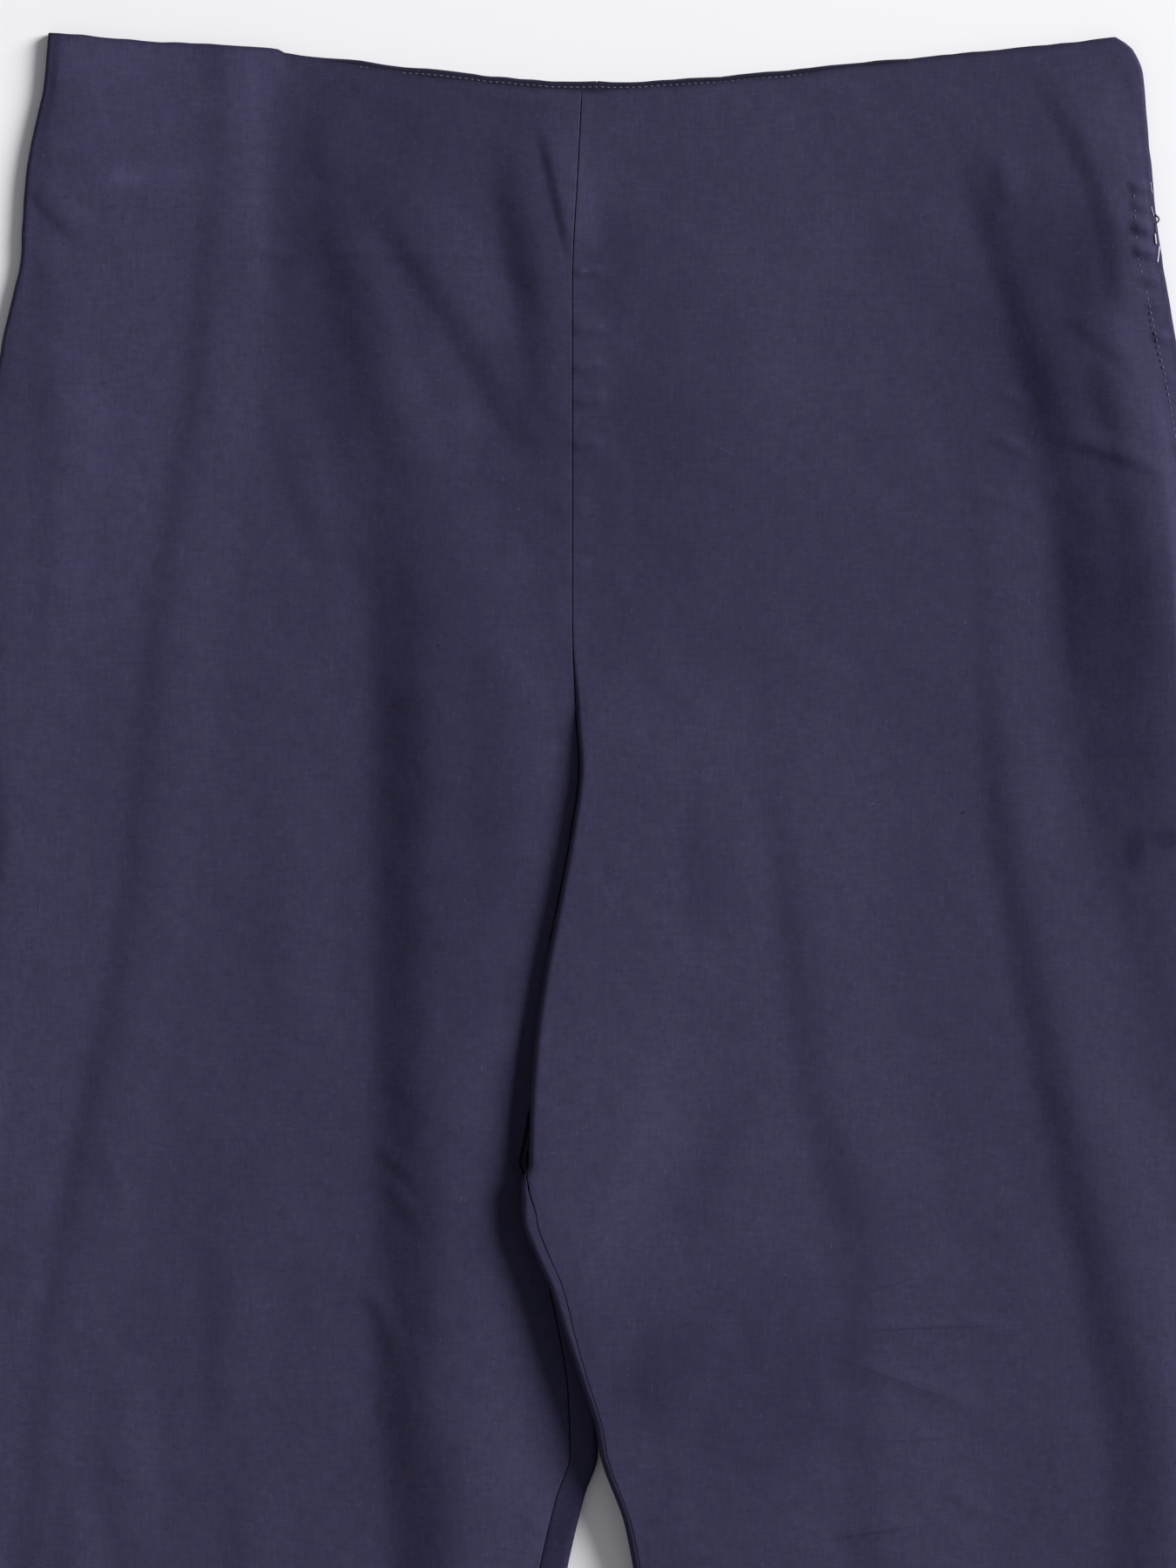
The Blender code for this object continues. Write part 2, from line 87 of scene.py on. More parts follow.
# Outer edges of the lying garment.
Edge = namedtuple("Edge", "down edge")
LEFT_SIDE = table(
    Edge,
    (-16.2, -176.4), (1.4, -177.8), (15.4, -181.2), (31, -183.8), (54.6, -185.1),
    (86.8, -191.8), (113.4, -195.2), (155.4, -198.8), (211.4, -201.6), (281.4, -203.6),
    (365.4, -205.2), (477.4, -206.4), (645.4, -208.6), (813.4, -212.8), (HEM_DOWN, -215.6),
)
RIGHT_SIDE = table(
    Edge,
    (-14.8, 167), (-11.2, 172.2), (-2.8, 175.8), (15.4, 177.2), (46.2, 180.3),
    (81.2, 186.2), (107.8, 189.6), (155.4, 194), (211.4, 197.4), (281.4, 199.6),
    (365.4, 200.8), (477.4, 201.6), (645.4, 205.8), (813.4, 211), (HEM_DOWN, 215.6),
)

# How far the waist edge lies below the back's centre, at places across it.
Waist = namedtuple("Waist", "across front back")
WAIST_EDGE = table(
    Waist,
    (-176.4, -16.2, -16.2), (-100.8, -9.4, -9.9), (-51.8, -1.4, -4.6), (-4.8, 2.8, -0.4),
    (32.2, 0.8, -2), (88.2, -5.6, -7), (167, -14.8, -14.8),
)

# Where the two halves meet, above the crotch.
Centre = namedtuple("Centre", "down front back")
CENTRE_LINE = table(
    Centre,
    (0, -4.8, 0), (23.8, -5.9, -0.6), (65.8, -7.8, -1.6), (169.4, -7.8, -5),
    (203, -6.7, -7), (219.8, -5.6, -8.2), (242.2, -8.4, -10.2), (264.6, -12.6, -13),
    (287, -17.1, -16.2), (309.4, -20.2, -19), (330, -21.5, -21.2), (CROTCH, -21.9, -21.9),
)
# The legs' inner edges below the crotch.
LEFT_INNER_EDGE = table(
    Edge,
    (CROTCH, -21.9), (356, -17.4), (365.4, -13.4), (393.4, -5), (421.4, 0),
    (441, 0.6), (454, -3.6), (477.4, -9.2), (505, -14), (561.4, -20.4),
    (673.4, -26.6), (841.4, -33.6), (HEM_DOWN, -40.6),
)
RIGHT_INNER_EDGE = table(
    Edge,
    (CROTCH, -21.9), (353, -24.4), (364.6, -24.1), (375.5, -20.3), (386.3, -15.4),
    (402, -10.4), (416.6, -5.5), (431.5, -0.6), (440.2, 0.8), (462.8, 8.7),
    (477.4, 11.6), (505.4, 16.8), (561.4, 22.4), (673.4, 28), (841.4, 35),
    (HEM_DOWN, 40.6),
)
# How the cloth goes round the inner edge: under and top are the heights of the back and the front there, and
# the turns are in degrees. The columns that a row leaves out are as where the leg lies flat.
ROLL_COLUMNS = "down back_turn wrap set_in top under radius front_turn"
Roll = namedtuple("Roll", ROLL_COLUMNS, defaults=(LAY_HEIGHT, 0, 2.1, 0))
LEFT_ROLL = table(
    Roll,
    (0, 0, 0, 0.15), (272, 0, 0, 0.15), (300, 0, 0, -3),
    (322, 0, 0, -2.4), (332, 40, 0, 0.3), (340, 95, 0, 0.6),
    (CROTCH, 180, 0, 0.9), (356, 180, 1.5, 0.4), (365.4, 180, 4.5, 0.4),
    (393.4, 180, 6.4, 0.4), (421.4, 180, 6.8, 0.4), (HEM_DOWN, 180, 6.8, 0.4),
)
RIGHT_ROLL = table(
    Roll,
    (0, 0, 0, 0.15, 4.2, 0, 1.9), (172, 0, 0, 0.15, 4.2, 0, 1.9),
    (186, 0, 0, 0.15, 4.4, 0, 1.9, 26), (198, 0, 0, 0.15, 5.4, 0, 1.9, 68),
    (212, 0, 0, 0.15, 7.4, 0, 1.9, 130), (228, 0, 0, 0.15, 8.7, 0, 1.9, 170),
    (272, 0, 0, 0.15, 9.6, 0, 2.3, 180), (300, 0, 0, 0.15, 10.4, 0, 2.4, 180),
    (314, 0, 0, 0.15, 11.4, 0, 2.4, 180), (324, 0, 0, 0.15, 12.3, 0.3, 2.3, 180),
    (332, 0, 0, 0.15, 13, 1.8, 2.2, 172), (340, 24, 0, 0.15, 13.7, 6, 2.1, 132),
    (CROTCH, 82, 0, 0.3, 14.4, 10.2, 2.1, 80), (354, 180, 0, 0.65, 14.7, 10.5),
    (364.6, 180, 2.5, 0.4, 14.8, 10.6), (386.3, 180, 2, 0.4, 14.8, 10.6),
    (400, 180, 1.2, 0.4, 14.7, 10.5), (416.6, 180, 0.3, 0.4, 14.6, 10.4),
    (431, 180, 0, 0.4, 14.1, 9.9), (440.2, 180, 0, 0.4, 13.4, 9.2),
    (462.8, 180, 0, 0.4, 10.8, 6.6), (505.4, 180, 0, 0.4, 6.1, 1.9),
    (561.4, 180, 0.7, 0.4), (HEM_DOWN, 180, 0.9, 0.4),
)

# Long folds of the fronts. crest is the fold's line, rise its width on the left and fall on the right.
Fold = namedtuple("Fold", "down crest height rise fall")
OUTER_RIDGE = table(
    Fold,
    (-10, -117, 0.6, 10, 18), (43.4, -118.4, 0.7, 10, 18), (85.4, -123, 0.9, 10, 19),
    (119, -128.2, 1, 10, 20), (169.4, -135.8, 1, 10, 20), (225.4, -141.4, 0.8, 10, 20),
    (273, -147, 0.9, 10, 20), (317.8, -155.4, 1.1, 10, 20), (359.8, -163.8, 1, 11, 22),
    (432.6, -173.6, 0.8, 12, 22), (560, -182, 0.6, 12, 22), (HEM_DOWN, -190, 0, 12, 22),
)
MAIN_RIDGE = table(
    Fold,
    (-10, -60, 1.2, 36, 34), (43.4, -62, 1.8, 38, 36), (85.4, -62, 2.6, 38, 34),
    (141.4, -50, 3.8, 36, 34), (169.4, -50.6, 4.4, 27, 36), (211.4, -52, 4.4, 23, 40),
    (267.4, -52, 4.4, 22, 38), (345.8, -51, 4.4, 23, 34), (379.4, -47.6, 4.6, 26, 33),
    (415.8, -51, 4.6, 23, 45), (471.8, -46, 4.6, 23, 52), (600, -62, 4, 25, 46),
    (760, -84, 3, 28, 44), (HEM_DOWN, -100, 1.8, 30, 40),
)
HIP_RIDGE = table(
    Fold,
    (-10, 150, 0.1, 22, 18), (25.2, 160, 0.3, 30, 18), (60.2, 166, 0.8, 34, 18),
    (96.6, 172, 1.8, 36, 18), (133, 180, 3.4, 38, 16), (169.4, 186, 5.2, 45, 16),
    (211.4, 190, 5.6, 45, 14), (267.4, 191, 3.4, 42, 14), (340, 192, 0.6, 30, 12),
    (HEM_DOWN, 200, 0, 20, 13),
)
THIGH_RIDGE = table(
    Fold,
    (-10, 92, 0, 10, 20), (140, 127, 0.4, 10, 20), (231, 135, 1.6, 12, 26),
    (303.8, 150, 2.2, 15, 30), (365.4, 165.2, 2.7, 18, 28), (443.8, 182, 2.5, 21, 18),
    (560, 185, 2.3, 24, 18), (760, 172, 2, 28, 26), (HEM_DOWN, 160, 1.3, 30, 34),
)
KNEE_RIDGE = table(
    Fold,
    (-10, 40, 0, 14, 30), (200, 62, 0.3, 14, 30), (259.4, 68, 1.3, 14, 30),
    (323.4, 77.6, 1.5, 15, 30), (371, 89.6, 1.3, 16, 30), (480, 96, 1.6, 20, 34),
    (760, 104, 1.8, 26, 34), (HEM_DOWN, 108, 1, 26, 34),
)
LEFT_FOLDS = (OUTER_RIDGE, MAIN_RIDGE)
RIGHT_FOLDS = (KNEE_RIDGE, THIGH_RIDGE, HIP_RIDGE)

# Short creases, from one place to another. bow is how far the middle swings to the right of a line that runs
# down, height is under 0 in a trough, and rise and fall are the widths on the left and right of that line.
Crease = namedtuple("Crease", "across down to_across to_down height rise fall bow", defaults=(0,))
FRONT_CREASES = table(
    Crease,
    # Drags from the left hip to the centre seam.
    (-87, 20, -54, 140, 0.95, 14, 12), (-76, 26, -14, 124, 1.6, 11, 20, 3),
    (-27, 8, -7, 118, 2.1, 14, 30, 1), (-17.5, 10, -5.6, 62, 1, 4, 13),
    (4, -60, 6, 170, 2.4, 78, 90),
    # Waist edge beside the centre, and the facing's lower edge.
    (-40, 4.2, -6, 7.6, 0.35, 3, 4), (68, 2, 88, 3, 0.35, 5, 4),
    (-110, 54, -14, 56.5, 0.26, 2.2, 2.4), (-112, 52, -94, 57.5, 0.35, 2.4, 2.6),
    (4, 55, 112, 52, 0.16, 2.4, 2.4),
    # Puckers beside the centre seam.
    (-9, 61.6, 4, 60.4, 0.8, 2.4, 2.2), (-9, 80, 4, 78, 0.6, 3.6, 3.2),
    (-9, 92.6, 3.4, 90, 0.65, 2.8, 2.8), (-9, 103.4, 5, 100.4, 0.75, 3, 3.2),
    (-9, 117, 3, 115, 0.5, 3, 3.4), (-14, 138, -1, 135, 0.32, 4, 4),
    (-13, 158, -1, 154, 0.26, 5, 5),
    # Left hip and side.
    (-106, -24, -104, 84, -0.5, 8, 24), (-185, 29, -162, 52, 0.6, 4, 9, -1),
    (-171, -80, -176, 200, 0.5, 9, 44), (-170, 60, -174, 190, 0.5, 9, 14, 2),
    (-188, 120, -193, 420, 0.6, 9, 40), (-89, 4, -84, 34, 0.5, 9, 14),
    (-103, 90, -74, 170, 0.6, 9, 14, -4),
    # Left thigh.
    (-27, 160, -28, 276, 1.3, 15, 19), (-104, 210, -98, 330, 0.5, 12, 18, 2),
    (-117, 366, -120, 440, 0.6, 9, 16), (-154, 402, -150, 486, 0.7, 12, 14),
    (-157.6, 344, -153.6, 366, 0.3, 3.5, 5, 1.5), (-190, 394.6, -178, 386.6, 0.4, 4, 3.4),
    (-76, 383, -64, 411, 0.5, 3.8, 6, 1), (-73, 341.4, -55, 353, 0.32, 3, 4),
    (-69, 351, -56, 368, 0.28, 3, 4), (-68, 320, -54, 329, 0.35, 3, 3.6),
    (-26, 458, -15, 466, 0.35, 3, 3), (-166, 440, -170, 520, 0.6, 8, 14),
    (-110, 436, -116, 540, 0.7, 9, 16), (-192, 300, -196, 372, 0.4, 5, 6, -1.5),
    # Right hip, above the side closure and under it.
    (121, 4, 158, 126, 1.8, 13, 44), (140, 68, 186, 202, 2, 20, 30),
    (169, 64, 187, 192, 1.2, 13, 20, -3), (138, -12, 170, 86, 1.4, 9, 20, 11),
    (149, 70, 178, 95, 0.8, 6, 12), (158, 80, 176, 128, 0.8, 9, 16, 1),
    (144, 113, 190, 129, 0.7, 3.6, 7, 1.5), (124.6, 112, 142, 121, 0.45, 2.6, 3),
    (116, 129, 142, 138, 0.35, 2.6, 3), (127, 98, 139, 104, 0.4, 3, 3),
    (128, 22, 133, 42, 0.7, 4, 8), (150, 136, 158, 200, 0.7, 8, 12, 2),
    # Right front and thigh.
    (24, 44, 50, 136, 1.3, 36, 60), (40, 292, 0, 412, -1.1, 16, 36),
    (33, 388, 28, 442, 0.7, 20, 30), (46, 228, 49, 290, 0.45, 8, 14, -3),
    (35.6, 332, 22, 382, -0.6, 14, 12, 1), (51, 392, 54, 416, 0.3, 6, 8),
    (72, 412, 76, 438, 0.3, 6, 9), (0, 250, 3, 257, -0.3, 3, 3),
    (6, 259, 8.6, 266, -0.25, 3, 3), (1, 312, 2, 319, -0.2, 3, 3),
    (82.6, 390.6, 102, 383.6, 0.35, 2.4, 2.6), (79.8, 401, 128, 399.6, 0.4, 2.4, 2.6, 0.5),
    (78, 410, 126, 427, 0.5, 2.8, 3.4), (110, 450, 128, 462, 0.4, 3, 3),
    (13, 463.4, 32, 455, 0.4, 2.6, 2.6), (85, 436, 112, 434.6, 0.4, 2.4, 2.6),
    (74, 467, 108, 463, 0.5, 2.8, 3), (112, 396, 140, 404, 0.4, 3, 3.4),
    # Knees and lower legs.
    (-150, 560, -140, 700, 0.9, 12, 20, 3), (-118, 610, -96, 640, 0.6, 6, 8, 2),
    (-180, 640, -150, 622, 0.5, 6, 6, 2), (-70, 700, -60, 820, 0.8, 10, 16, -2),
    (-160, 780, -152, 930, 0.9, 12, 18, -4), (-120, 860, -116, 985, 0.6, 10, 14, 2),
    (-96, 700, -70, 716, 0.35, 4, 5), (52, 520, 60, 640, 0.7, 10, 18, 2),
    (120, 560, 124, 690, 0.8, 12, 18, -3), (80, 628, 110, 616, 0.5, 5, 6, 2),
    (150, 650, 184, 664, 0.5, 5, 7), (70, 760, 76, 900, 0.8, 12, 18, 3),
    (180, 760, 184, 900, 0.7, 10, 14, 2), (60, 905, 90, 915, 0.3, 4, 5),
)
# Long low ones on the underside, where the back stands off the surface.
BACK_CREASES = table(
    Crease,
    (-150, 70, -140, 300, 0.9, 7, 12, 5), (-96, 60, -62, 330, 0.8, 6, 10, -6),
    (-60, 90, -22, 200, 0.7, 5, 8, 4), (-170, 330, -160, 560, 0.8, 7, 10, 4),
    (-110, 350, -120, 620, 0.9, 7, 12, -4), (-90, 362, -50, 392, 0.7, 5, 6, 3),
    (-140, 640, -150, 900, 0.8, 8, 12, 4), (-90, 700, -80, 960, 0.7, 7, 10, -3),
    (-180, 620, -140, 606, 0.6, 5, 6, 2), (40, 70, 62, 280, 0.8, 6, 10, 5),
    (120, 80, 136, 330, 0.9, 7, 12, -6), (22, 100, 60, 150, 0.6, 5, 7, 4),
    (90, 340, 98, 590, 0.9, 7, 12, 5), (160, 350, 150, 600, 0.8, 7, 10, -4),
    (60, 392, 104, 372, 0.7, 5, 6, 3), (110, 640, 124, 910, 0.8, 8, 12, 5),
    (170, 680, 176, 940, 0.7, 7, 10, -3), (70, 636, 120, 622, 0.6, 5, 6, 2),
)
# The side closure's stitch line, on the right front, and the puckers between it and the side edge.
Spot = namedtuple("Spot", "down across")
CLOSURE_LINE = table(
    Spot,
    (31, 172.2), (44, 173), (56.8, 173.9), (67.8, 176.7), (81.5, 179.5),
    (94.9, 182.6), (110.6, 185.4), (133, 188.6), (160, 191.2), (187, 193),
)
Pucker = namedtuple("Pucker", "down height width")
CLOSURE_PUCKERS = table(
    Pucker,
    (33.6, 1.4, 2.6), (39.4, 1.2, 2.6), (46.6, 2, 3.2), (54.2, 1.8, 3), (63.6, 0.9, 2.6),
    (71.6, 0.5, 3), (81.8, 1.4, 2.6), (95.6, 0.5, 3), (117, 0.6, 4), (140, 0.5, 4),
    (167, 0.6, 4),
)
PUCKER_START = 2.0  # how far inside the stitch line a pucker begins
PUCKER_RISE = 3.0  # it reaches its full height over this distance
PUCKER_FADE = 2.4  # and dies out over this one at the side edge
END_FADE = 0.34  # share of a crease's length over which each end dies out
CREASE_FADE = 2.6  # creases die out this close to a rolled edge
FLAT_TURN = 25.0  # degrees of roll past which they die out at the inner edge too

# Slight unevenness all over the fronts.
Rumple = namedtuple("Rumple", "height size seed")
RUMPLES = table(Rumple, (0.26, 17.0, 4), (0.09, 6.5, 9))
RUMPLE_GRID = 128
RUMPLE_START = (64.0, 8.0)  # the grid's columns and rows that lie before the origin

# Unevenness of the waist and side edges.
EDGE_STRAY = 0.35  # how far the edges stray from their smooth lines
STRAY_LENGTH = 13.0
SHORT_STRAY_LENGTH = 5.0
STRAY_SEEDS = {"back": 21, "front": 22, "left": 23, "right": 24}
CORNER_FADE = 12.0  # they keep to the lines this close to the waist's corners
STRAY_DEPTH = 14.0  # the rows are even again this far below the waist edge
SIDE_STRAY_END = 560.0  # and the side edges below here
SIDE_STRAY_FADE = 120.0
STEP_ACROSS = -100.8  # from here to the left, the front's waist edge stands a little higher
STEP_RISE = 0.9
STEP_WIDTH = 1.8  # over how far it rises
STEP_BACK = -150.0  # where it is back on its line
STEP_BACK_WIDTH = 44.0  # and over how far it comes back

HEM_STITCH = 24.0  # the hem's stitch line, above the hem's edge
HEM_DENT = 0.22
HEM_DENT_WIDTH = 1.6

RowRun = namedtuple("RowRun", "start end step")
FRONT_RUNS = table(
    RowRun,
    (0, 24, 1.6), (24, 128, 1.3), (128, 490, 2.2), (490, 978, 6), (978, HEM_DOWN, 1.6),
)
BACK_RUNS = table(
    RowRun,
    (0, 60, 2.4), (60, 320, 4), (320, 480, 2.2), (480, 978, 6), (978, HEM_DOWN, 1.6),
)
FRONT_COLUMNS = 98
BACK_COLUMNS = 60
SIDE_STEPS = 5
ROLL_STEPS = 12
WRAP_STEPS = 5
EDGE_CROWDING = 0.38  # how much closer the columns are beside the edges
ROW_ROUNDS = 12  # how often the row through a place is corrected


def through(rows, column, at):
    """A smooth curve through a table's rows that never overshoots them."""
    places = np.array([row[0] for row in rows], float)
    values = np.array([getattr(row, column) for row in rows], float)
    at = np.clip(np.asarray(at, float), places[0], places[-1])
    spans = np.diff(places)
    steps = np.diff(values) / spans
    same_way = steps[:-1] * steps[1:] > 0
    both = np.where(same_way, steps[:-1] + steps[1:], 1.0)
    inner = np.where(same_way, 2 * steps[:-1] * steps[1:] / both, 0.0)
    slopes = np.concatenate([steps[:1], inner, steps[-1:]])
    spot = np.clip(np.searchsorted(places, at, side="right") - 1, 0, len(spans) - 1)
    part = (at - places[spot]) / spans[spot]
    start, end = values[spot], values[spot + 1]
    lean_in, lean_out = slopes[spot] * spans[spot], slopes[spot + 1] * spans[spot]
    rest = 1 - part
    return (
        start * (1 + 2 * part) * rest**2
        + lean_in * part * rest**2
        + end * part**2 * (3 - 2 * part)
        - lean_out * part**2 * rest
    )


def ease(part):
    """0 up to 0, 1 from 1 on, and smooth between them."""
    part = np.clip(part, 0.0, 1.0)
    return part * part * (3 - 2 * part)


def fold_height(fold, across, down):
    crest = through(fold, "crest", down)
    width = np.where(across < crest, through(fold, "rise", down), through(fold, "fall", down))
    spread = np.clip(np.abs(across - crest) / width, 0.0, 1.0)
    return through(fold, "height", down) * (1 - spread**2) ** 2


def crease_height(crease, across, down):
    """A short crease's height, or depth, which dies out at both ends."""
    run_across = crease.to_across - crease.across
    run_down = crease.to_down - crease.down
    length = np.hypot(run_across, run_down)
    from_across, from_down = across - crease.across, down - crease.down
    part = (from_across * run_across + from_down * run_down) / length**2
    off = (from_across * run_down - from_down * run_across) / length
    off = off - 4 * crease.bow * part * (1 - part)
    width = np.where(off < 0, crease.rise, crease.fall)
    profile = (1 - np.minimum(np.abs(off) / width, 1.0) ** 2) ** 2
    return crease.height * profile * ease(part / END_FADE) * ease((1 - part) / END_FADE)


def pucker_height(across, down, from_side):
    """The ridges across the side closure, from its stitch line to the side edge."""
    start = through(CLOSURE_LINE, "across", down) - PUCKER_START
    ridges = 0.0
    for pucker in CLOSURE_PUCKERS:
        off = np.minimum(np.abs(down - pucker.down) / pucker.width, 1.0)
        ridges = ridges + pucker.height * (1 - off**2) ** 2
    ridges = ridges * ease((across - start) / PUCKER_RISE)
    return ridges * ease((from_side + PUCKER_FADE / 4) / PUCKER_FADE)


def rumple(across, down, size, seed):
    """Smooth unevenness between -1 and 1, with patches about size wide."""
    heights = np.random.default_rng(seed).uniform(-1.0, 1.0, (RUMPLE_GRID, RUMPLE_GRID))
    column, row = across / size + RUMPLE_START[0], down / size + RUMPLE_START[1]
    left, top = np.floor(column).astype(int), np.floor(row).astype(int)
    part_across, part_down = ease(column - left), ease(row - top)

    def corner(right, below):
        return heights[(top + below) % RUMPLE_GRID, (left + right) % RUMPLE_GRID]

    upper = corner(0, 0) * (1 - part_across) + corner(1, 0) * part_across
    lower = corner(0, 1) * (1 - part_across) + corner(1, 1) * part_across
    return upper * (1 - part_down) + lower * part_down


def strayed(along, edge):
    """How far an edge strays from its line, at places along it."""
    seed = STRAY_SEEDS[edge]
    short = rumple(along, 0.0, SHORT_STRAY_LENGTH, seed)
    return EDGE_STRAY * (rumple(along, 0.0, STRAY_LENGTH, seed) + 0.5 * short)


def waist_shift(which, across, down):
    """How far a point is moved down so that the rows follow the waist edge, with its small unevenness."""
    fade = np.clip(1 - down / WAIST_FADE, 0.0, 1.0) ** 2
    shift = through(WAIST_EDGE, which, across) * fade
    from_corner = np.minimum(across - WAIST_EDGE[0].across, WAIST_EDGE[-1].across - across)
    near = ease(from_corner / CORNER_FADE) * np.clip(1 - down / STRAY_DEPTH, 0.0, 1.0) ** 2
    stray = strayed(across, which)
    if which == "front":
        step = STEP_RISE * ease((STEP_ACROSS - across) / STEP_WIDTH)
        stray = stray - step * ease((across - STEP_BACK) / STEP_BACK_WIDTH)
    return shift + stray * near


def row_at(which, across, down):
    """The row, before it follows the waist edge, that passes a given place down."""
    row = np.asarray(down, float)
    for _ in range(ROW_ROUNDS):
        row = down - waist_shift(which, across, row)
    return row


def side_edge(side, down):
    """The outer edge beside the row that starts at down."""
    shift = waist_shift("back", side[0].edge, down)
    fade = ease(down / CORNER_FADE) * (1 - ease((down - SIDE_STRAY_END) / SIDE_STRAY_FADE))
    stray = strayed(down, "left" if side is LEFT_SIDE else "right")
    return through(side, "edge", down + shift) + stray * fade


def curled_end(distance, wrap, turn, radius):
    """Points of a sheet whose end rolls over, by their distance from the free end.

    Returns how far they lie past the roll's foot, and how far they stand off the sheet's plane.
    """
    arc = radius * turn
    angle = np.clip((wrap + arc - distance) / radius, 0.0, turn)
    straight = np.maximum(wrap - distance, 0.0)
    behind = np.maximum(distance - wrap - arc, 0.0)
    past = radius * np.sin(angle) + straight * np.cos(turn) - behind
    off = radius * (1 - np.cos(angle)) + straight * np.sin(turn)
    return past, off


def hem_dent(row):
    """The shallow groove that the hem's stitches pull into the cloth."""
    off = np.abs(row - (HEM_DOWN - HEM_STITCH)) / HEM_DENT_WIDTH
    return HEM_DENT * (1 - np.minimum(off, 1.0) ** 2) ** 2


class Leg(namedtuple("Leg", "name outward side inner_edge roll folds")):
    """One half of the garment: outward is -1 on the left and +1 on the right.

    A row is a place down, before it follows the waist edge.
    """

    def at(self, column, row):
        return through(self.roll, column, row)

    def edge(self, layer, row):
        """The inner edge of the front or the back."""
        above = through(CENTRE_LINE, layer, row)
        below = through(self.inner_edge, "edge", row)
        return np.where(row < CROTCH, above, below)

    def reach(self, layer, across, row):
        """Distance from the inner roll's foot, towards the side."""
        inwards = (across - self.edge(layer, row)) * self.outward
        return inwards - self.at("radius", row)

    def from_side(self, across, row):
        return self.outward * (side_edge(self.side, row) - across) - SIDE_RADIUS

    def underside(self, across, row):
        """Height of the back, which is flat apart from a few long creases that stand off the surface."""
        inside = self.reach("back", across, row)
        reach = inside - LIFT_HOLD
        lift = self.at("under", row) * (1 - ease(reach / LIFT_REACH))
        down = row + waist_shift("back", across, row)
        low = sum(crease_height(crease, across, down) for crease in BACK_CREASES)
        soft = ease(np.minimum(self.from_side(across, row), inside) / EDGE_FADE)
        return lift + low * soft + hem_dent(row)

    def top(self, across, row):
        """Height of the front, with its folds and creases."""
        reach = self.reach("front", across, row)
        from_side = self.from_side(across, row)
        crest = (self.at("top", row) - LAY_HEIGHT) * (1 - ease(reach / CREST_REACH))
        inside = ease(np.minimum(from_side / EDGE_FADE, np.maximum(reach, 0) / INNER_FADE))
        folds = sum(fold_height(fold, across, row) for fold in self.folds)
        down = row + waist_shift("front", across, row)
        short = sum(crease_height(crease, across, down) for crease in FRONT_CREASES)
        for uneven in RUMPLES:
            short = short + uneven.height * rumple(across, down, uneven.size, uneven.seed)
        at_side = ease(from_side / CREASE_FADE)
        at_seam = ease(reach / CREASE_FADE)
        flat_seam = 1 - ease((self.at("front_turn", row) + self.at("back_turn", row)) / FLAT_TURN)
        soft = at_side * np.maximum(at_seam, flat_seam)
        height = LAY_HEIGHT + crest + folds * inside + short * soft - hem_dent(row)
        if self.side is RIGHT_SIDE:
            height = height + pucker_height(across, down, from_side)
        return height


LEFT_LEG = Leg("left", -1, LEFT_SIDE, LEFT_INNER_EDGE, LEFT_ROLL, LEFT_FOLDS)
RIGHT_LEG = Leg("right", 1, RIGHT_SIDE, RIGHT_INNER_EDGE, RIGHT_ROLL, RIGHT_FOLDS)


def row_places(runs):
    """A column of places down."""
    places = [runs[0].start]
    for run in runs:
        count = max(2, round((run.end - run.start) / run.step * DETAIL))
        places.extend(np.linspace(run.start, run.end, count + 1)[1:])
    return np.array(places, float)[:, None]


def crowded(count):
    """Shares of the way across, between 0 and 1, that are closer together beside the ends."""
    part = np.linspace(0.0, 1.0, max(2, round(count * DETAIL)) + 1)[1:-1]
    return part - EDGE_CROWDING * np.sin(2 * pi * part) / (2 * pi)


def rolled(foot, heading, spots, wrap, turn, radius, level, lift):
    """Points round an end that starts to roll at foot and heads that way, from the free end.

    level gives the sheet's height at places across, and lift is +1 to roll up or -1 to roll down.
    """
    past, off = curled_end(spots, wrap, turn, radius)
    across = foot + heading * past
    return across, level(np.where(past > 0, foot, across)) + lift * off


def whole_rows(leg, rows, inner, level, lift, count):
    """The rows from the outer end, a quarter turn to the side seam, to the inner end: across and height."""
    foot = side_edge(leg.side, rows) - leg.outward * SIDE_RADIUS
    arc = SIDE_RADIUS * pi / 2
    spots = np.concatenate([[0.0], SIDE_STUB + arc * np.linspace(0.0, 1.0, SIDE_STEPS + 1)])
    outer = rolled(foot, leg.outward, spots, SIDE_STUB, pi / 2, SIDE_RADIUS, level, lift)
    inner = [part[:, ::-1] for part in inner]
    start, end = outer[0][:, -1:], inner[0][:, :1]
    across = start + (end - start) * crowded(count)
    return (
        np.concatenate([outer[0], across, inner[0]], axis=1),
        np.concatenate([outer[1], level(across), inner[1]], axis=1),
    )


def inner_roll(leg, rows, column):
    """How the inner end rolls: its turn, radius and wrap, and how much of the radius it reaches inwards."""
    turn = np.radians(leg.at(column, rows))
    return turn, leg.at("radius", rows), leg.at("wrap", rows), np.sin(np.minimum(turn, pi / 2))


def front_rows(leg, rows):
    """Points of a front, from the side seam to its inner end: across and height."""

    def level(across):
        return leg.top(across, rows)

    turn, radius, wrap, lean = inner_roll(leg, rows, "front_turn")
    over_fold = ease(leg.at("back_turn", rows) / 180) * radius * (1 - lean) + wrap
    set_in = leg.at("set_in", rows)
    foot = leg.edge("front", rows) + leg.outward * (radius * lean + over_fold + set_in)
    spots = radius * pi * np.linspace(0.0, 1.0, ROLL_STEPS + 1)
    inner = rolled(foot, -leg.outward, spots, 0.0, turn, radius, level, -1)
    return whole_rows(leg, rows, inner, level, -1, FRONT_COLUMNS)


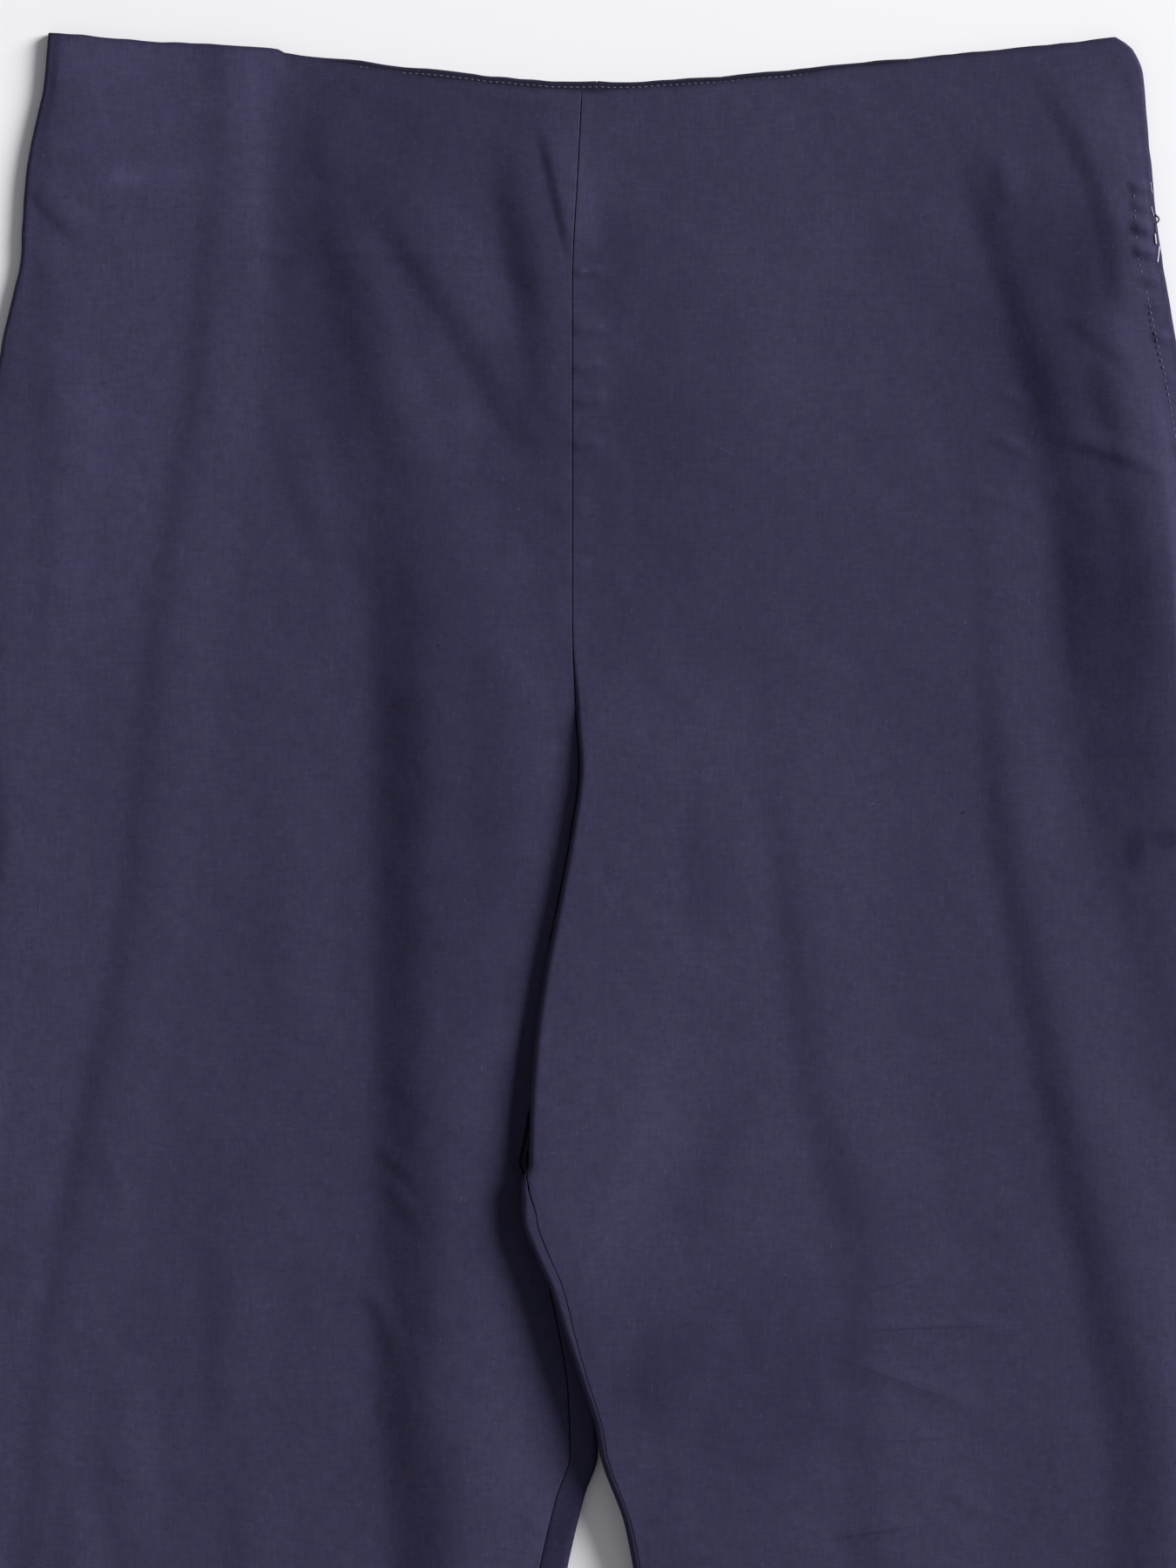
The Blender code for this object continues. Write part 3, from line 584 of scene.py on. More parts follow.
def back_rows(leg, rows):
    """Points of a back, from the side seam under the leg to its inner end: across and height."""

    def level(across):
        return leg.underside(across, rows)

    turn, radius, wrap, lean = inner_roll(leg, rows, "back_turn")
    foot = leg.edge("back", rows) + leg.outward * (radius * lean + SEAM_GAP / 2)
    shown = np.maximum(wrap, LEAST_WRAP)
    straight = shown * np.linspace(0.0, 1.0, WRAP_STEPS, endpoint=False)
    curved = shown + radius * pi * np.linspace(0.0, 1.0, ROLL_STEPS + 1)
    spots = np.concatenate([straight, curved], axis=1)
    inner = rolled(foot, -leg.outward, spots, wrap, turn, radius, level, 1)
    return whole_rows(leg, rows, inner, level, 1, BACK_COLUMNS)


# Pieces of cloth.

EDGE_SHADE_WIDTH = 0.45
EDGE_ROUNDING = 0.35
SHARP = 1.0  # radians between faces that meet in a sharp edge
FACING_EDGE_DROP = 0.25  # how far the facing turns down at its upper edge
FACING_EDGE_REACH = 1.2
FACING_SHOWN_WALL = 0.7
FACING_ROWS = 26
FACING_COLUMNS = 150


def flat_places(across, height, down):
    """Each point's place on the flat cloth: the run of the row, kept level with the middle, and down."""
    steps = np.hypot(np.diff(across, axis=1), np.diff(height, axis=1))
    run = np.concatenate([np.zeros((len(across), 1)), np.cumsum(steps, axis=1)], axis=1)
    count = across.shape[1] // 2
    middle = slice(count, count + 1)
    towards = np.sign(across[:, -1:] - across[:, :1])
    return np.stack([across[:, middle] + towards * (run - run[:, middle]), -down], axis=-1)


def cloth_mesh(name, points, flat, shade, turned):
    """A grid of faces through rows of points, with the flat places as its UV map."""
    rows, columns = points.shape[:2]
    number = np.arange(rows * columns).reshape(rows, columns)
    faces = np.stack([number[:-1, :-1], number[1:, :-1], number[1:, 1:], number[:-1, 1:]], axis=-1)
    faces = faces.reshape(-1, 4)
    if turned:
        faces = faces[:, ::-1]
    mesh = bpy.data.meshes.new(name)
    mesh.from_pydata((points.reshape(-1, 3) * MM).tolist(), [], faces.tolist())
    layer = mesh.uv_layers.new(name="cloth")
    layer.data.foreach_set("uv", (flat.reshape(-1, 2) * MM)[faces.ravel()].ravel())
    shaded = mesh.attributes.new("edge_shade", "FLOAT", "POINT")
    shaded.data.foreach_set("value", shade.ravel())
    mesh.shade_smooth()
    return mesh


def finished(piece, *modifiers):
    """Applies modifiers, given as their kind and settings, to a piece."""
    bpy.ops.object.select_all(action="DESELECT")
    bpy.context.view_layer.objects.active = piece
    piece.select_set(True)
    for kind, settings in modifiers:
        modifier = piece.modifiers.new(kind.lower(), kind)
        for setting, value in settings.items():
            setattr(modifier, setting, value)
        bpy.ops.object.modifier_apply(modifier=modifier.name)
    piece.select_set(False)


def set_up(name, data):
    """A new object of the scene, from its mesh, curve, light or camera."""
    made = bpy.data.objects.new(name, data)
    bpy.context.collection.objects.link(made)
    return made


def new_piece(name, mesh, finish):
    mesh.materials.append(finish)
    piece = set_up(name, mesh)
    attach(piece, "root")
    return piece


def cloth_piece(name, node, rows, places, which, wall, finish, turned=False):
    """A sheet through rows of places across and heights, thickened away from its outer side."""
    across, height = places
    down = rows + waist_shift(which, across, rows)
    points = np.stack([across, WAIST_Y - down, height], axis=-1)
    from_ends = np.minimum(rows - rows[0], rows[-1] - rows) + 0 * across
    from_side = np.abs(across - across[:, :1])
    shade = np.exp(-np.minimum(from_ends, from_side) / EDGE_SHADE_WIDTH)
    mesh = cloth_mesh(name, points, flat_places(across, height, down), shade, turned)
    piece = new_piece(name, mesh, finish)
    rounding = {"width": EDGE_ROUNDING * MM, "segments": 2, "limit_method": "ANGLE", "angle_limit": SHARP}
    finished(piece, ("SOLIDIFY", {"thickness": wall * MM, "offset": -1.0}), ("BEVEL", rounding))
    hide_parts(node)
    return piece


def cut_size(places, rows):
    """A sheet's cut, as width and length, and its area, in metres, measured along the cloth."""
    across, height = places
    widths = np.hypot(np.diff(across, axis=1), np.diff(height, axis=1)).sum(axis=1)
    length = float(rows[-1, 0] - rows[0, 0])
    area = float(np.sum((widths[1:] + widths[:-1]) / 2 * np.diff(rows[:, 0])))
    return (float(widths.max()) * MM, length * MM), area * MM * MM


def add_panel(leg, side, finish):
    """A front or a back, and its cut."""
    is_front = side == "front"
    rows = row_places(FRONT_RUNS if is_front else BACK_RUNS)
    places = front_rows(leg, rows) if is_front else back_rows(leg, rows)
    turned = (leg.outward > 0) == is_front
    name = f"{side}_{leg.name}"
    piece = cloth_piece(
        f"{name}_cloth", f"{name}_panel", rows, places, side, WALL, finish, turned
    )
    return piece, cut_size(places, rows)


def facing_ends(rows):
    """Where the facing begins on the left and ends beside the zip."""
    left = side_edge(LEFT_SIDE, rows) + FACING_SIDE_GAP
    right = side_edge(RIGHT_SIDE, rows) - ZIP_SIDE_GAP - ZIP_WIDTH - FACING_ZIP_GAP
    return left, right


def facing_height(rows):
    drop = FACING_EDGE_DROP * np.exp(-(rows - FACING_SET_IN) / FACING_EDGE_REACH)
    return FACING_TOP - drop


def add_facing(finish):
    """The turned-in strip along the back of the waist, and its cut."""
    rows = np.linspace(FACING_SET_IN, FACING_DEPTH, round(FACING_ROWS * DETAIL))[:, None]
    left, right = facing_ends(rows)
    across = left + (right - left) * np.linspace(0.0, 1.0, round(FACING_COLUMNS * DETAIL))
    places = (across, facing_height(rows) + 0 * across)
    piece = cloth_piece(
        "back_facing_cloth", "back_facing", rows, places, "back", FACING_SHOWN_WALL, finish
    )
    return piece, cut_size(places, rows)


# Stitches, thread ends and the zip's coil: one small shape, repeated along a line.

SHAPE_SEGMENTS = 8
SHAPE_RINGS = 6
STITCH_SIZE = (1.2, 0.5, 0.36)
STITCH_PITCH = 2.0
CLOSURE_PITCH = 2.24
HEM_PITCH = 3.0
HEM_CLEARANCES = (2, 1)  # between a hem's stitches and the turns at its inner edge and its side
UNDERSTITCH_DOWN = 1.9  # below the back's waist edge
STITCH_SINK = 0.02  # how far a stitch's middle lies under the cloth's surface
STITCH_TURN = 0.09  # radians that a stitch may lie askew
STITCH_LENGTHS = (0.88, 1.06)  # shares of the usual one
FACING_LINE_POINTS = 120
HEM_LINE_POINTS = 40

ZIP_ROWS = 70
ZIP_COLUMNS = 13
TAPE_WALL = 0.5
TAPE_GROOVE = 0.12
TAPE_GROOVE_WIDTH = 1.2
COIL_SIZE = (2.9, 0.8, 0.5)
COIL_PITCH = 1.25
COIL_LIFT = 0.13  # of the coil's middle over the tape
COIL_MIDDLE = TAPE_TOP + COIL_LIFT

# Each loose end's thread, its radius, and its places down and across.
LOOSE_ENDS = (
    ("pale_thread", 0.09, ((32, 178), (33.4, 178.3), (34.6, 178.3), (35.4, 178.7))),
    ("pale_thread", 0.11, ((39.8, 178.3), (41, 178.5), (42, 178.9), (42.8, 179.1))),
    ("pale_thread", 0.26, ((48.6, 179.4), (49.6, 179.6), (50.8, 179.6), (51.8, 179.8))),
    ("pale_thread", 0.24, ((52.6, 180.8), (54.2, 180.7), (56, 180.5), (57.6, 180.2))),
    ("dark_thread", 0.3, ((42.4, 179.6), (43, 180.4), (43.7, 181.2), (44.4, 180.6), (45.2, 179.8))),
    ("dark_thread", 0.26, ((45, 179.5), (45.9, 179.7), (46.8, 179.5), (48, 179.7))),
)


def small_shape(size):
    """A rounded bar along X, modelled once: its points and faces."""
    bpy.ops.object.select_all(action="DESELECT")
    bpy.ops.mesh.primitive_uv_sphere_add(segments=SHAPE_SEGMENTS, ring_count=SHAPE_RINGS, radius=0.5)
    bar = bpy.context.active_object
    bpy.ops.object.mode_set(mode="EDIT")
    bpy.ops.mesh.select_all(action="SELECT")
    bpy.ops.transform.rotate(value=pi / 2, orient_axis="Y", center_override=(0.0, 0.0, 0.0))
    bpy.ops.transform.resize(value=size)
    bpy.ops.object.mode_set(mode="OBJECT")
    points = np.array([vertex.co[:] for vertex in bar.data.vertices])
    # The sphere's faces come in another order each run, so they are sorted.
    faces = sorted(tuple(face.vertices) for face in bar.data.polygons)
    mesh = bar.data
    bpy.data.objects.remove(bar, do_unlink=True)
    bpy.data.meshes.remove(mesh)
    return points, faces


def evenly(line, pitch):
    """Places at equal steps along a line of points, and the way it runs there."""
    line = np.asarray(line, float)
    run = np.concatenate([[0.0], np.cumsum(np.linalg.norm(np.diff(line, axis=0), axis=1))])
    spots = np.arange(pitch / 2, run[-1], pitch)

    def at(distance):
        return np.stack([np.interp(distance, run, line[:, axis]) for axis in range(3)], axis=-1)

    ways = at(np.minimum(spots + pitch / 4, run[-1])) - at(spots - pitch / 4)
    return at(spots), ways / np.linalg.norm(ways, axis=1, keepdims=True)


def repeated(name, shape, spots, ways, finish, seed):
    """One piece made of a small shape at each spot, laid along the line with a little unevenness."""
    shape_points, shape_faces = shape
    random = np.random.default_rng(seed)
    points, faces = [], []
    for spot, way in zip(spots, ways):
        turn = random.uniform(-STITCH_TURN, STITCH_TURN)
        aside = np.array([-way[1], way[0], 0.0])
        aside /= np.linalg.norm(aside)
        way = way * np.cos(turn) + aside * np.sin(turn)
        up = np.cross(way, aside)
        aside = np.cross(up, way)
        size = random.uniform(*STITCH_LENGTHS)
        placed = shape_points * (size, 1.0, 1.0) @ np.stack([way, aside, up])
        faces.extend(tuple(len(points) + corner for corner in face) for face in shape_faces)
        points.extend(placed + spot)
    mesh = bpy.data.meshes.new(name)
    mesh.from_pydata((np.array(points) * MM).tolist(), [], faces)
    mesh.shade_smooth()
    return new_piece(name, mesh, finish)


def thread(name, line, radius, finish):
    """A bit of thread that lies along a line of points: a tube with rounded ends."""
    curve = bpy.data.curves.new(name, "CURVE")
    curve.dimensions = "3D"
    curve.bevel_depth = radius * MM
    curve.bevel_resolution = 3
    curve.use_fill_caps = True
    spline = curve.splines.new("NURBS")
    spline.points.add(len(line) - 1)
    for point, place in zip(spline.points, line):
        point.co = (*(np.array(place) * MM), 1.0)
    spline.order_u = 4
    spline.use_endpoint_u = True
    spline.resolution_u = 6
    drawn = set_up(name, curve)
    mesh = bpy.data.meshes.new_from_object(drawn.evaluated_get(bpy.context.evaluated_depsgraph_get()))
    bpy.data.objects.remove(drawn, do_unlink=True)
    mesh.name = name
    mesh.shade_smooth()
    return new_piece(name, mesh, finish)


def front_line(leg, spots, lift):
    """Points on a front's outer side, from places down and across, also where it turns down at the side."""
    across = np.array([spot.across for spot in spots], float)
    down = np.array([spot.down for spot in spots], float)
    row = row_at("front", across, down)
    height = np.array([float(leg.top(one, at)) for one, at in zip(across, row)])
    from_side = np.array([float(leg.from_side(one, at)) for one, at in zip(across, row)])
    past = np.clip(-from_side, 0.0, SIDE_RADIUS)
    height -= SIDE_RADIUS - np.sqrt(SIDE_RADIUS**2 - past**2)
    return np.stack([across, WAIST_Y - down, height + lift], axis=-1)


def facing_line(lift):
    """Points along the facing's upper edge, where it is stitched to its seam allowance."""
    row = np.full(FACING_LINE_POINTS, UNDERSTITCH_DOWN)
    left, right = facing_ends(row[0])
    across = np.linspace(left + STITCH_PITCH, right - STITCH_PITCH, len(row))
    down = row + waist_shift("back", across, row)
    return np.stack([across, WAIST_Y - down, facing_height(row) + lift], axis=-1)


def hem_line(leg, layer, lift):
    """Points along a hem, from beside the inner edge to the side."""
    row = HEM_DOWN - HEM_STITCH
    beside_inner, beside_side = HEM_CLEARANCES
    turned = leg.at("radius", row) + leg.at("wrap", row) + beside_inner
    inner = float(leg.edge(layer, row)) + leg.outward * turned
    outer = float(side_edge(leg.side, row)) - leg.outward * (SIDE_RADIUS + beside_side)
    across = np.linspace(inner, outer, HEM_LINE_POINTS)
    if layer == "front":
        return front_line(leg, [Spot(row, one) for one in across], lift)
    rest = np.full((HEM_LINE_POINTS, 2), (WAIST_Y - row, HEM_DENT + lift))
    return np.column_stack([across, rest])


def add_stitches(finish):
    """The rows that show: under the back's waist edge, along the side closure and round the hems."""
    stitch = small_shape(STITCH_SIZE)

    def sewn(name, line, pitch, seed):
        spots, ways = evenly(line, pitch)
        return repeated(name, stitch, spots, ways, finish, seed)

    understitch = sewn("waist_understitch", facing_line(-STITCH_SINK), STITCH_PITCH, seed=3)
    line = front_line(RIGHT_LEG, CLOSURE_LINE, -STITCH_SINK)
    closure = sewn("side_closure_stitch", line, CLOSURE_PITCH, seed=5)
    hems = {}
    for leg in (LEFT_LEG, RIGHT_LEG):
        for layer, seed in (("front", 7), ("back", 8)):
            line = hem_line(leg, layer, -STITCH_SINK)
            hems[layer, leg.name] = sewn(f"{layer}_{leg.name}_hem_stitch", line, HEM_PITCH, seed)
    return understitch, closure, hems


def add_zip(finish):
    """The closed zip inside the side seam: its tape, and the coil down the middle."""
    rows = np.linspace(ZIP_START, ZIP_START + ZIP_LENGTH, round(ZIP_ROWS * DETAIL))[:, None]
    right = side_edge(RIGHT_SIDE, rows) - ZIP_SIDE_GAP
    share = np.linspace(0.0, 1.0, ZIP_COLUMNS)
    across = right - ZIP_WIDTH * (1 - share)
    groove = TAPE_GROOVE * np.exp(-((share - 0.5) * ZIP_WIDTH / TAPE_GROOVE_WIDTH) ** 2)
    places = (across, TAPE_TOP - groove + 0 * across)
    tape = cloth_piece("side_zip_tape", "side_zip", rows, places, "back", TAPE_WALL, finish)
    middle = right[:, 0] - ZIP_WIDTH / 2
    down = rows[:, 0] + waist_shift("back", middle, rows[:, 0])
    line = np.stack([middle, WAIST_Y - down, np.full(len(down), COIL_MIDDLE)], axis=-1)
    spots, ways = evenly(line, COIL_PITCH)
    across_ways = np.stack([-ways[:, 1], ways[:, 0], ways[:, 2]], axis=-1)
    coil = repeated("side_zip_coil", small_shape(COIL_SIZE), spots, across_ways, finish, seed=11)
    return tape, coil


def add_loose_ends(threads):
    """The ends of sewing thread that show beside the side closure."""
    ends = []
    for number, (kind, radius, places) in enumerate(LOOSE_ENDS, 1):
        line = front_line(RIGHT_LEG, [Spot(*place) for place in places], radius)
        ends.append(thread(f"loose_end_{number}", line, radius, threads[kind]))
    return ends


# Finishes.


class Wire:
    """A socket of a finish that takes part in sums."""

    def __init__(self, finish, socket):
        self.finish = finish
        self.socket = socket

    def worked(self, operation, first, second):
        return self.finish.node("ShaderNodeMath", {0: first, 1: second}, operation=operation)

    def __add__(self, other):
        return self.worked("ADD", self, other)

    __radd__ = __add__

    def __sub__(self, other):
        return self.worked("SUBTRACT", self, other)

    def __rsub__(self, other):
        return self.worked("SUBTRACT", other, self)

    def __mul__(self, other):
        return self.worked("MULTIPLY", self, other)

    __rmul__ = __mul__

    def wave(self, length):
        """A wave between -1 and 1 of a given length."""
        return self.worked("SINE", self * (2 * pi / length), 0.0)


class Finish:
    """A surface finish, made node by node. Its patterns' sizes are in millimetres."""

    def __init__(self, name, fixed):
        self.material = bpy.data.materials.new(name)
        self.material.use_nodes = True
        self.tree = self.material.node_tree
        self.shader = self.tree.nodes["Principled BSDF"]
        for socket, value in fixed.items():
            self.shader.inputs[socket].default_value = value

    def feed(self, socket, value):
        if isinstance(value, Wire):
            self.tree.links.new(value.socket, socket)
        else:
            socket.default_value = value

    def node(self, kind, sockets, output=0, **settings):
        """Any node, from its type, the values or links of its sockets, and its settings."""
        made = self.tree.nodes.new(kind)
        for setting, value in settings.items():
            setattr(made, setting, value)
        for socket, value in sockets.items():
            self.feed(made.inputs[socket], value)
        return Wire(self, made.outputs[output])

    def scaled(self, place, sizes):
        scale = tuple(1 / size for size in sizes)
        return self.node("ShaderNodeVectorMath", {0: place, 1: scale}, operation="MULTIPLY")

    def noise(self, place, size, detail=2.0):
        """Soft noise about zero. size is its patches' width, or their widths along each axis."""
        sizes = size if isinstance(size, tuple) else (size, size, size)
        sockets = {"Vector": self.scaled(place, sizes), "Scale": 1.0, "Detail": detail}
        return self.node("ShaderNodeTexNoise", sockets, noise_dimensions="3D") - 0.5

    def step(self, value, start, end):
        """0 before start, 1 after end and smooth between them."""
        sockets = {"Value": value, "From Min": start, "From Max": end, "To Min": 0.0, "To Max": 1.0}
        return self.node("ShaderNodeMapRange", sockets, interpolation_type="SMOOTHSTEP")

    def mixed(self, share, first, second):
        """A colour between two."""
        sockets = {0: share, 6: first, 7: second}
        return self.node("ShaderNodeMix", sockets, output=2, data_type="RGBA", clamp_factor=True)

    def toned(self, colour, tone):
        """A colour made lighter or darker."""
        return self.node("ShaderNodeVectorMath", {0: colour, "Scale": tone}, operation="SCALE")

    def flat_place(self):
        """The place on the flat cloth, in millimetres."""
        return self.scaled(self.node("ShaderNodeUVMap", {}, uv_map="cloth"), (MM, MM, MM))

    def object_place(self):
        """The place in space, in millimetres."""
        return self.scaled(self.node("ShaderNodeTexCoord", {}, output=3), (MM, MM, MM))

    def axes(self, place):
        """How far across and how far up a place is."""
        across = self.node("ShaderNodeSeparateXYZ", {0: place})
        return across, Wire(self, across.socket.node.outputs[1])

    def worn(self, colour, roughness, relief):
        """The finished material, from its colour, its roughness and its relief in millimetres."""
        normal = self.node("ShaderNodeBump", {"Height": relief, "Distance": MM, "Strength": 1.0})
        for socket, value in (("Base Color", colour), ("Roughness", roughness), ("Normal", normal)):
            self.feed(self.shader.inputs[socket], value)
        return self.material


NAVY_BLUE = (0.0379, 0.0350, 0.0783, 1.0)
NAVY_GREY = (0.0391, 0.0358, 0.0746, 1.0)
# The bluer navy of painted shade, mixed into the cloth where a mark is darker.
NAVY_PAINTED_SHADE = (0.0376, 0.0347, 0.0900, 1.0)
LINT = (0.110, 0.104, 0.185, 1.0)
TAPE_NAVY = (0.030, 0.028, 0.055)
# Each sewing thread's colour and sheen.
THREADS = {
    "navy_thread": ((0.074, 0.071, 0.125), 0.1),
    "pale_thread": ((0.60, 0.59, 0.64), 0.3),
    "dark_thread": ((0.012, 0.011, 0.018), 0.0),
}
YARN = 0.46  # from one yarn to the next
TWILL = 0.92
EDGE_DARKER = 0.4
DEEPENING = 1.3  # how much of the painted shade's bluer navy a dark mark mixes in, for each share that it is darker

SMALL_MARK = 5.0  # marks narrower than this have frayed edges, and wider ones patchy edges
FRAY = 0.8  # width of the fraying
PATCH = 15.0
MARK_EDGE = 1.15  # where a mark begins and is at its full strength, in its own half sizes
MARK_FULL = 0.25

# Painted light and shade, with a few small specks: lighter patches where more light falls on the folds,
# darker ones in creases and shadows, and thin painted highlights and crease lines. Each gives its middle,
# length, width, how much lighter it is, and its turn in degrees.
Mark = namedtuple("Mark", "across down length width lighter turn", defaults=(0,))
LEFT_PAINTED_SHADING = table(
    Mark,
    (-150, 60, 90, 300, 0.13), (-188, 330, 64, 620, 0.13), (-55, 42, 106, 170, -0.14),
    (-150, 31, 44, 14, 0.09), (-100, 44, 16, 110, -0.09), (-108, -4, 32, 56, 0.12),
    (-147, 0, 60, 60, 0.09), (-156, -10, 60, 24, 0.12), (-110, -7, 26, 28, 0.12),
    (-87, 75, 44, 120, -0.1), (-192, 241, 9, 36, -0.3), (-190, 378, 14, 14, -0.15),
    (-164, 354, 18, 54, -0.1, 8), (-147, 440, 18, 100, 0.08), (-124, 400, 16, 170, -0.06),
    (-104, 366, 20, 70, 0.05), (-186, 92, 20, 84, -0.1), (-164, 150, 44, 130, 0.09),
    (-118, 26, 28, 70, 0.07), (-22, 112, 34, 96, -0.15), (-36, 205, 70, 240, -0.24),
    (-40, 330, 46, 260, -0.14, 4), (-66, 320, 40, 430, -0.1), (-48, 466, 16, 110, -0.2),
    (-64, 476, 14, 90, 0.07), (-151, 31, 12, 7, 0.26, 5), (-143, 29, 30, 14, 0.1),
    (-50.4, 181, 1.1, 0.9, -0.5), (-101, 56, 14, 0.7, 0.12, 16), (-76, 121, 6, 0.6, 0.14, 40),
)
RIGHT_PAINTED_SHADING = table(
    Mark,
    (142, 74, 62, 130, -0.28), (164, 170, 54, 130, -0.15), (184, 96, 34, 190, -0.14),
    (10, 120, 80, 190, -0.08), (35, 349, 84, 22, -0.1, 118), (21, 412, 56, 28, -0.15, 128),
    (58, 420, 62, 90, -0.17), (40, 404, 130, 110, -0.15), (32, 254, 12, 66, -0.18),
    (5, 58, 22, 50, -0.22), (8, 452, 26, 60, 0.12), (173, 247, 9, 20, -0.3),
    (184, 243, 14, 9, -0.3), (160, 57, 24, 60, -0.12), (95, 386.3, 24, 1, -0.16, -16),
    (108, 400.2, 54, 1.1, -0.22, -2), (99, 418, 52, 1.3, -0.14, 20), (102, 436.2, 26, 1.1, -0.2, -2),
    (88, 466, 38, 1.3, -0.22, -9), (131, 227, 34, 0.8, 0.1, 9), (118.4, 173.5, 0.9, 0.9, 0.8),
    (88.6, 231.7, 0.8, 0.8, 0.8), (40, 117.6, 16, 0.8, 0.2, 26), (43, 54.6, 15, 0.7, 0.12, 2),
    (104, 28.8, 18, 0.8, 0.1), (117.6, 234.6, 1.2, 1, -0.5), (-4.2, 60.8, 3.4, 0.8, 0.35, 2),
    (52, 55.6, 5, 0.6, 0.08, 80),
)

# Painted shade where the left back comes round to the front.
LEFT_BACK_PAINTED_SHADE = table(Mark, (-1, 474, 26, 64, -0.38))


def painted_light_and_shade(finish, place, marks):
    """How much lighter the cloth is painted at its marks: painted light and shade, and a few small specks."""
    lighter = finish.node("ShaderNodeValue", {})
    fray = finish.noise(place, FRAY) * 1.4
    patches = finish.noise(place, PATCH) * 0.6
    for mark in marks:
        sockets = {
            "Vector": place,
            "Location": (mark.across, -mark.down, 0.0),
            "Rotation": (0.0, 0.0, -np.radians(mark.turn)),
            "Scale": (mark.length / 2, mark.width / 2, 1.0),
        }
        local = finish.node("ShaderNodeMapping", sockets, vector_type="TEXTURE")
        far = finish.node("ShaderNodeVectorMath", {0: local}, output=1, operation="LENGTH")
        uneven = fray if mark.width < SMALL_MARK else patches
        lighter = lighter + finish.step(far + uneven, MARK_EDGE, MARK_FULL) * mark.lighter
    return lighter


def cotton(name, marks=(), tone=1.0):
    """Navy cotton: a fine twill with uneven yarns, mottled dye, a little lint and a few dark specks, with
    painted light and shade at its marks and painted shade along its edges.
    """
    finish = Finish(name, {"Specular IOR Level": 0.12})
    place = finish.flat_place()
    cloud = finish.noise(place, 46.0)
    mottle = finish.noise(place, 5.5, 3.0)
    grain = finish.noise(place, 0.8)
    warp = finish.noise(place, (0.7, 16.0, 1.0))
    weft = finish.noise(place, (12.0, 0.7, 1.0))
    slubs = finish.noise(place, (1.3, 4.5, 1.0)) + finish.noise(place, (4.0, 1.3, 1.0))
    uneven = cloud * 0.09 + mottle * 0.24 + slubs * 0.36
    light = tone * (1 + uneven + grain * 0.21 + warp * 0.13 + weft * 0.1)
    # Painted light and shade: the marks make the colour lighter or darker where the folds catch more or less
    # light.
    lighter = painted_light_and_shade(finish, place, marks)
    shade = finish.node("ShaderNodeAttribute", {}, output=2, attribute_name="edge_shade")
    light = light * (1 + lighter) * (1 - shade * EDGE_DARKER)

    hue = finish.step(finish.noise(place, 6.0), -0.12, 0.12)
    colour = finish.mixed(hue, NAVY_GREY, NAVY_BLUE)
    colour = finish.mixed(lighter * -DEEPENING, colour, NAVY_PAINTED_SHADE)
    specks = finish.step(finish.noise(place, (0.8, 0.9, 1.0), 0.0), -0.25, -0.31)
    fibres = finish.step(finish.noise(place, (0.6, 3.0, 1.0), 0.0), 0.27, 0.33)
    fibres = fibres + finish.step(finish.noise(place, (2.6, 0.5, 1.0), 0.0), 0.28, 0.34)
    colour = finish.toned(colour, light * (1 - specks * 0.3))
    colour = finish.mixed(fibres * 0.2, colour, LINT)

    across, along = finish.axes(place)
    weave = across.wave(YARN) * 0.0035 + along.wave(YARN) * 0.0035 + (across + along).wave(TWILL) * 0.004
    crinkle = finish.noise(place, (5.0, 9.0, 1.0), 3.0) * 0.14 + warp * 0.012 + weft * 0.01
    return finish.worn(colour, 0.82 + mottle * 0.12, weave + crinkle + grain * 0.012)


def sewing_thread(name, colour, sheen):
    """Twisted thread, a little uneven in colour."""
    finish = Finish(name, {"Specular IOR Level": 0.5, "Sheen Weight": sheen})
    place = finish.object_place()
    uneven = finish.noise(place, 1.6)
    ply = finish.noise(place, 0.16)
    colour = finish.toned(colour, 1 + uneven * 0.7 + ply * 0.3)
    return finish.worn(colour, 0.5 + uneven * 0.2, ply * 0.06)


def zip_finish():
    """Woven polyester tape and its coil."""
    finish = Finish("zip_tape", {"Specular IOR Level": 0.4})
    place = finish.object_place()
    uneven = finish.noise(place, 2.5)
    across, along = finish.axes(place)
    ribs = along.wave(0.7) * 0.02 + across.wave(0.9) * 0.02
    return finish.worn(finish.toned(TAPE_NAVY, 1 + uneven * 0.3), 0.6 + uneven * 0.1, ribs)


# The floor, the light and the camera.

FLOOR_SIZE = 9.0  # metres, as are the lamp's distance and size
FLOOR_COLOUR = (0.986, 0.981, 0.998, 1.0)
FRAME_HEIGHT = 504.0  # how much of the garment the picture's height takes in
FRAME_CENTRE = (-2.8, 270.8)
CAMERA_HEIGHT = 2200.0
SENSOR_HEIGHT = 36.0
FARTHEST = 100.0  # metres

KEY_DISTANCE = 10.0
KEY_SIZE = 5.5
KEY_SIDE = 24.0  # degrees from the viewer's right towards the waist
KEY_RISE = 27.0  # degrees above the floor
KEY_POWER = 1600.0
FILL_COLOUR = (0.96, 0.97, 1.03, 1.0)
FILL_STRENGTH = 0.22


def add_floor():
    bpy.ops.object.select_all(action="DESELECT")
    bpy.ops.mesh.primitive_plane_add(size=FLOOR_SIZE, location=(0.0, 0.0, 0.0))
    floor = bpy.context.active_object
    floor.name = "floor"
    finish = Finish("floor", {"Base Color": FLOOR_COLOUR, "Roughness": 0.9, "Specular IOR Level": 0.1})
    floor.data.materials.append(finish.material)


